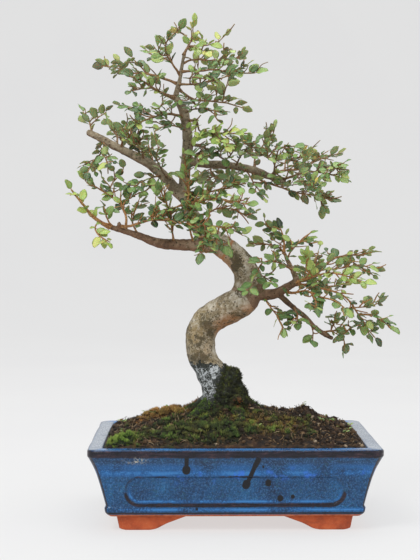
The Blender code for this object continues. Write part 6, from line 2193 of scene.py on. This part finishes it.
def twig_rate(node):
    return next(rate for start, rate in TWIG_RATES if node.startswith(start))


def growth_start(limb, leaf_start):
    """The share of a shoot's length below which it stays bare."""
    if limb.node.startswith(LOW_LEAVED):
        return 0.06
    return 0.16 if limb.name in CROSS_SHOOTS else max(leaf_start - 0.1, 0.08)


def side_twigs(whole):
    """Fine twigs that fork off the shoots, mostly forward, back and up, as Limb objects by their shoot."""
    found = []
    for number, (limb, leaf_start, _) in enumerate(whole):
        draw = random.Random(500 + number)
        total = path_length(limb.points)
        first = total * growth_start(limb, leaf_start)
        wanted = twig_rate(limb.node) * (total - first) / 10
        count = int(wanted) + (draw.random() < wanted % 1)
        for twig in range(count):
            distance = first + (total - first) * (twig + draw.uniform(0.1, 0.9)) / count
            spot, direction, _ = point_along(limb.points, min(distance, total - 0.5))
            free = Vector((draw.gauss(0, 0.6), draw.gauss(-0.15, 0.9), draw.gauss(0.35, 0.6)))
            across = (free - direction * free.dot(direction)).normalized()
            angle = math.radians(draw.uniform(30, 65))
            heading = direction * math.cos(angle) + across * math.sin(angle)
            length = draw.uniform(*TWIG_LENGTH) * (0.65 + 0.35 * min(total / 40, 1))
            points = [spot]
            pieces = 3
            for _ in range(pieces):
                points.append(points[-1] + heading * length / pieces)
                turn = Vector((draw.gauss(0, 0.22), draw.gauss(0, 0.22), draw.gauss(0.05, 0.22)))
                heading = (heading + turn).normalized()
            thick = draw.uniform(0.5, 0.8)
            radii = [thick * (1 - 0.12 * step) for step in range(pieces + 1)]
            found.append((
                Limb(limb.name + "_side_" + str(twig), limb.node, points, radii), limb, distance / total))
    return found


def free_pose(limb, distance, side, draw):
    """Base, direction, upper side, length and width of a leaf that mostly faces up to the light."""
    spot, direction, _ = point_along(limb.points, distance)
    toward = -1 if spot.y < draw.uniform(-15, 25) else 1
    face = Vector((draw.gauss(0, 0.42), toward * abs(draw.gauss(0.4, 0.45)), draw.gauss(0.8, 0.35)))
    face.normalize()
    across = direction.cross(face).normalized()
    along = direction + across * draw.uniform(-0.3, 0.3)
    if side:
        angle = math.radians(draw.uniform(35, 70))
        along = direction * math.cos(angle) + across * side * math.sin(angle)
    along = (along + Vector((0, 0, draw.uniform(-0.3, 0.15)))).normalized()
    up = (face - along * face.dot(along)).normalized()
    length = draw.uniform(9.0, 13.5)
    return spot, along, up, length, length * draw.uniform(0.45, 0.65)


class Reach:
    """Where the solids' shoots and leaves are, so that finer growth stays among them."""

    def __init__(self, whole, leaves):
        points = [point for limb, _, _ in whole for point in smooth_path(limb.points, limb.radii, 2.0)[0]]
        for poses in leaves.values():
            for base, along, _, length, _ in poses:
                points += [base + along * length * share for share in (0.5, 1.0)]
        self.tree = KDTree(len(points))
        for index, point in enumerate(points):
            self.tree.insert((point.x, point.y * 0.5, point.z), index)
        self.tree.balance()

    def holds(self, spot):
        return self.tree.find((spot.x, spot.y * 0.5, spot.z))[2] < STRAY


def clear_leaf(limb, distance, side, size, draw, crowd, reach, tries=4):
    """A leaf pose on a twig that touches nothing placed before, or nothing at all."""
    for _ in range(tries):
        spot, along, up, length, width = free_pose(limb, distance, side, draw)
        pose = (spot, along, up, length * size, width * size)
        if not reach.holds(spot + along * length * size):
            continue
        points, faces = fat_leaf(*pose)
        if not crowd.hit(points, faces, skip=(limb.node + "_stems",)):
            crowd.add(limb.node + "_leaves", *leaf_faces(*leaf_rings(*pose)))
            return pose
    return None


def extra_leaves(whole, twigs, crowd, reach):
    """More leaves on the same shoots and on their side twigs, where there is room."""
    found = []
    for number, (twig, _, _) in enumerate(twigs):
        draw = random.Random(7000 + number)
        total = path_length(twig.points)
        distance = draw.uniform(2.5, 5)
        side = draw.choice((-1, 1))
        if draw.random() < BARE_SHARE:
            continue
        while distance < total + 2:
            last = distance > total - 1.5
            size = draw.uniform(0.58, 0.98)
            pose = clear_leaf(
                twig, min(distance, total - 0.3), 0 if last else side, size, draw, crowd, reach)
            if pose:
                found.append((twig, pose, 0.5 + 0.5 * min(distance / total, 1)))
            side = -side
            distance += TWIG_LEAF_SPACING * draw.uniform(0.75, 1.4)
    for number, (limb, leaf_start, _) in enumerate(whole):
        draw = random.Random(900 + number)
        total = path_length(limb.points)
        distance = total * growth_start(limb, leaf_start) + draw.uniform(1, 4)
        side = draw.choice((-1, 1))
        sparse = 1.5 if "crown" in limb.node or "right" in limb.node else 1.2
        while distance < total + 1.0:
            pose = clear_leaf(
                limb, min(distance, total - 0.4), side, draw.uniform(0.58, 0.98), draw, crowd, reach)
            if pose:
                found.append((limb, pose, min(distance / total, 1)))
            side = -side
            distance += draw.uniform(5.5, 9.5) * sparse
    return found


def twig_warmth(node, draw):
    """How orange a node's twigs are: the low boughs carry young orange-brown shoots."""
    young = node.startswith(("spray_cross", "spray_low_left", "spray_mid_left_root", "spray_low_right"))
    return min(max(draw.gauss(0.85 if young else 0.35, 0.15), 0), 1)


def all_leaves(whole, leaves, shoots, lines, crowd):
    """Every leaf with its limb and its share of the way to the tip, and the fine side twigs."""
    placed = []
    for node, poses in leaves.items():
        for pose in poses:
            limb = min(
                shoots[node], key=lambda shoot: (nearest_on(lines, shoot, pose[0]) - pose[0]).length_squared)
            placed.append((limb, pose, 0.5))
    twigs = side_twigs(whole)
    reach = Reach(whole, leaves)
    twigs = [entry for entry in twigs if reach.holds(entry[0].points[-1])]
    placed += extra_leaves(whole, twigs, crowd, reach)
    return placed, twigs


def make_twigs(region, limbs, lines, nodes, twig_bark):
    """The stems of one region as one piece."""
    stems = Heap("warm", "tip")
    draw = random.Random("bark " + region)
    for limb in limbs:
        if region_of(limb.node) != region:
            continue
        points, radii = lines[limb.name]
        sides = 9 if radii[0] > 1.4 else 6 if radii[0] > 0.8 else 5
        corners, faces = tube(points, radii, sides)
        share = [index / len(points) for index in range(len(points)) for _ in range(sides)] + [0.0, 1.0]
        stems.add(corners, faces, warm=twig_warmth(limb.node, draw), tip=share)
    stems.piece("twigs_" + region, [twig_bark], replaced=nodes, slot="bark")


def make_leaves(region, placed, lines, nodes, materials):
    """The leaves of one region as one piece, with green and lime ones."""
    heap = Heap("across", "along", "under", "tone", "stalk")
    draw = random.Random("leaf looks " + region)
    for limb, pose, depth in placed:
        if region_of(limb.node) != region:
            continue
        is_lime = limb.node in LIME_NODES
        tone = leaf_tone(is_lime, draw, depth)
        start = nearest_on(lines, limb, pose[0])
        points, faces, marks = blade(pose, draw, start, tone)
        heap.add(points, faces, kind=1 if is_lime else 0, **marks)
    heap.piece("leaves_" + region, materials, replaced=nodes, slot="leaf_green")


def make_foliage(whole, leaves, crowd, twig_bark, green, lime):
    """Twigs and leaves of each region as two pieces."""
    lines = {limb.name: twig_line(limb, mother) for limb, _, mother in whole}
    shoots = {}
    for limb, _, _ in whole:
        shoots.setdefault(limb.node, []).append(limb)
    placed, twigs = all_leaves(whole, leaves, shoots, lines, crowd)
    for twig, shoot, _ in twigs:
        start = nearest_on(lines, shoot, twig.points[0])
        points, radii = smooth_path([start] + twig.points[1:], twig.radii, 2.2)
        lines[twig.name] = (points, radii)
    limbs = [limb for limb, _, _ in whole] + [twig for twig, _, _ in twigs]
    for region in ("low_left", "mid_left", "right", "low_right", "crown"):
        nodes = [node for node in shoots if region_of(node) == region]
        make_twigs(region, limbs, lines, nodes, twig_bark)
        make_leaves(region, placed, lines, nodes, [green, lime])


# Stage, in metres: the flat floor's reach, the radius of the curve behind it and its top
FLOOR_FLAT = 1.8
FLOOR_CURVE = 1.4
FLOOR_CURVE_STEPS = 12
FLOOR_TOP = 3.2
# Lamps: name, place, size and power, all aimed at one point
LAMPS = [
    ("key", (-0.7, -0.9, 1.35), 0.7, 14.5),
    ("fill", (1.1, -0.8, 0.8), 1.0, 5.0),
    ("top", (0.1, 0.2, 1.5), 1.2, 11.0),
]
LAMP_AIM = Vector((0, 0, 0.22))
# The camera stands at the eye point and looks a little down and to the right.
CAMERA_SPOT = (-0.0341, -1.2211, 0.2527)
CAMERA_DIP = 1.964
CAMERA_TURN = -0.637
LENS = 87.32


def make_floor():
    """A plain pale floor that runs up behind the object."""
    profile = [(0.6, 0.0), (1.2, 0.0), (FLOOR_FLAT, 0.0)]
    for step in range(1, FLOOR_CURVE_STEPS + 1):
        angle = math.radians(90 * step / FLOOR_CURVE_STEPS)
        profile.append((
            FLOOR_FLAT + FLOOR_CURVE * math.sin(angle), FLOOR_CURVE - FLOOR_CURVE * math.cos(angle)))
    profile.append((FLOOR_FLAT + FLOOR_CURVE, FLOOR_TOP))
    around = 96
    floor = bpy.data.meshes.new("floor")
    bm = bmesh.new()
    rings = []
    for reach, height in profile:
        ring = []
        for step in range(around):
            angle = 2 * math.pi * step / around
            ring.append(bm.verts.new((reach * math.cos(angle), reach * math.sin(angle), height)))
        rings.append(ring)
    bm.faces.new(rings[0])
    for inner, outer in zip(rings, rings[1:]):
        for step in range(around):
            following = (step + 1) % around
            bm.faces.new((inner[step], outer[step], outer[following], inner[following]))
    bm.to_mesh(floor)
    bm.free()
    floor.shade_smooth()
    ground = bpy.data.objects.new("floor", floor)
    bpy.context.scene.collection.objects.link(ground)
    paper = Shade("paper_floor", 0.9)
    paper.set(Base_Color=paper.ramp(paper.noise(3, 2.0, 0.5), [(0.4, "737374"), (0.6, "767676")]))
    paper.set(Emission_Color="ffffff", Emission_Strength=0.61)
    floor.materials.append(paper.material)


def make_lights():
    """A pale room light and three soft lamps."""
    world = bpy.data.worlds.new("studio")
    bpy.context.scene.world = world
    world.use_nodes = True
    background = world.node_tree.nodes["Background"]
    background.inputs["Color"].default_value = (0.90, 0.915, 0.93, 1.0)
    background.inputs["Strength"].default_value = 0.46
    for name, spot, size, power in LAMPS:
        lamp = bpy.data.lights.new(name, "AREA")
        lamp.size = size
        lamp.energy = power
        holder = bpy.data.objects.new(name, lamp)
        holder.location = spot
        aim = LAMP_AIM - Vector(spot)
        holder.rotation_euler = aim.to_track_quat("-Z", "Y").to_euler()
        bpy.context.scene.collection.objects.link(holder)


def make_camera():
    camera = bpy.data.cameras.new("camera")
    camera.lens = LENS
    camera.sensor_width = 36
    camera.sensor_fit = "AUTO"
    holder = bpy.data.objects.new("camera", camera)
    holder.location = CAMERA_SPOT
    holder.rotation_euler = (math.radians(90 - CAMERA_DIP), 0, math.radians(CAMERA_TURN))
    bpy.context.scene.collection.objects.link(holder)
    bpy.context.scene.camera = holder
    bpy.context.scene.view_settings.view_transform = "Standard"


def make_screens():
    """The drain screens keep their solids and get a plastic that isn't plain."""
    shade = Shade("screen_plastic", 0.5)
    grain = shade.noise(900, 2.0, 0.6)
    shade.set(Base_Color=shade.ramp(grain, [(0.35, "0c0c0c"), (0.65, "242424")]))
    shade.bump(grain, 0.2, 0.0003)
    for name in ("drain_screen_left", "drain_screen_right"):
        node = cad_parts[name]
        node.data.materials.clear()
        node.data.materials.append(shade.material)


def main():
    make_floor()
    make_lights()
    make_camera()
    make_screens()
    make_pot_body([glaze_material()])
    make_feet(terracotta_material())
    make_soil_bed(soil_material())
    make_crumbs(crumb_material())
    make_litter(litter_material())
    moss = moss_material()
    make_moss_carpet(moss)
    for name, values, count, dry_level, tone_level, seed in CUSHIONS:
        make_cushion(name, values, count, dry_level, tone_level, seed, moss)
    nodes, leafy, whole = grow_tree()
    crowd = measure_crowd(nodes, bpy.context.scene.collection)
    leaves = place_leaves(leafy, crowd)
    wood = make_wood(nodes, bark_material())
    make_trunk_moss(wood, moss)
    twig_bark = twig_material()
    green = leaf_material("leaf_green", False)
    make_seedlings(twig_bark, green)
    make_foliage(whole, leaves, crowd, twig_bark, green, leaf_material("leaf_lime", True))


main()
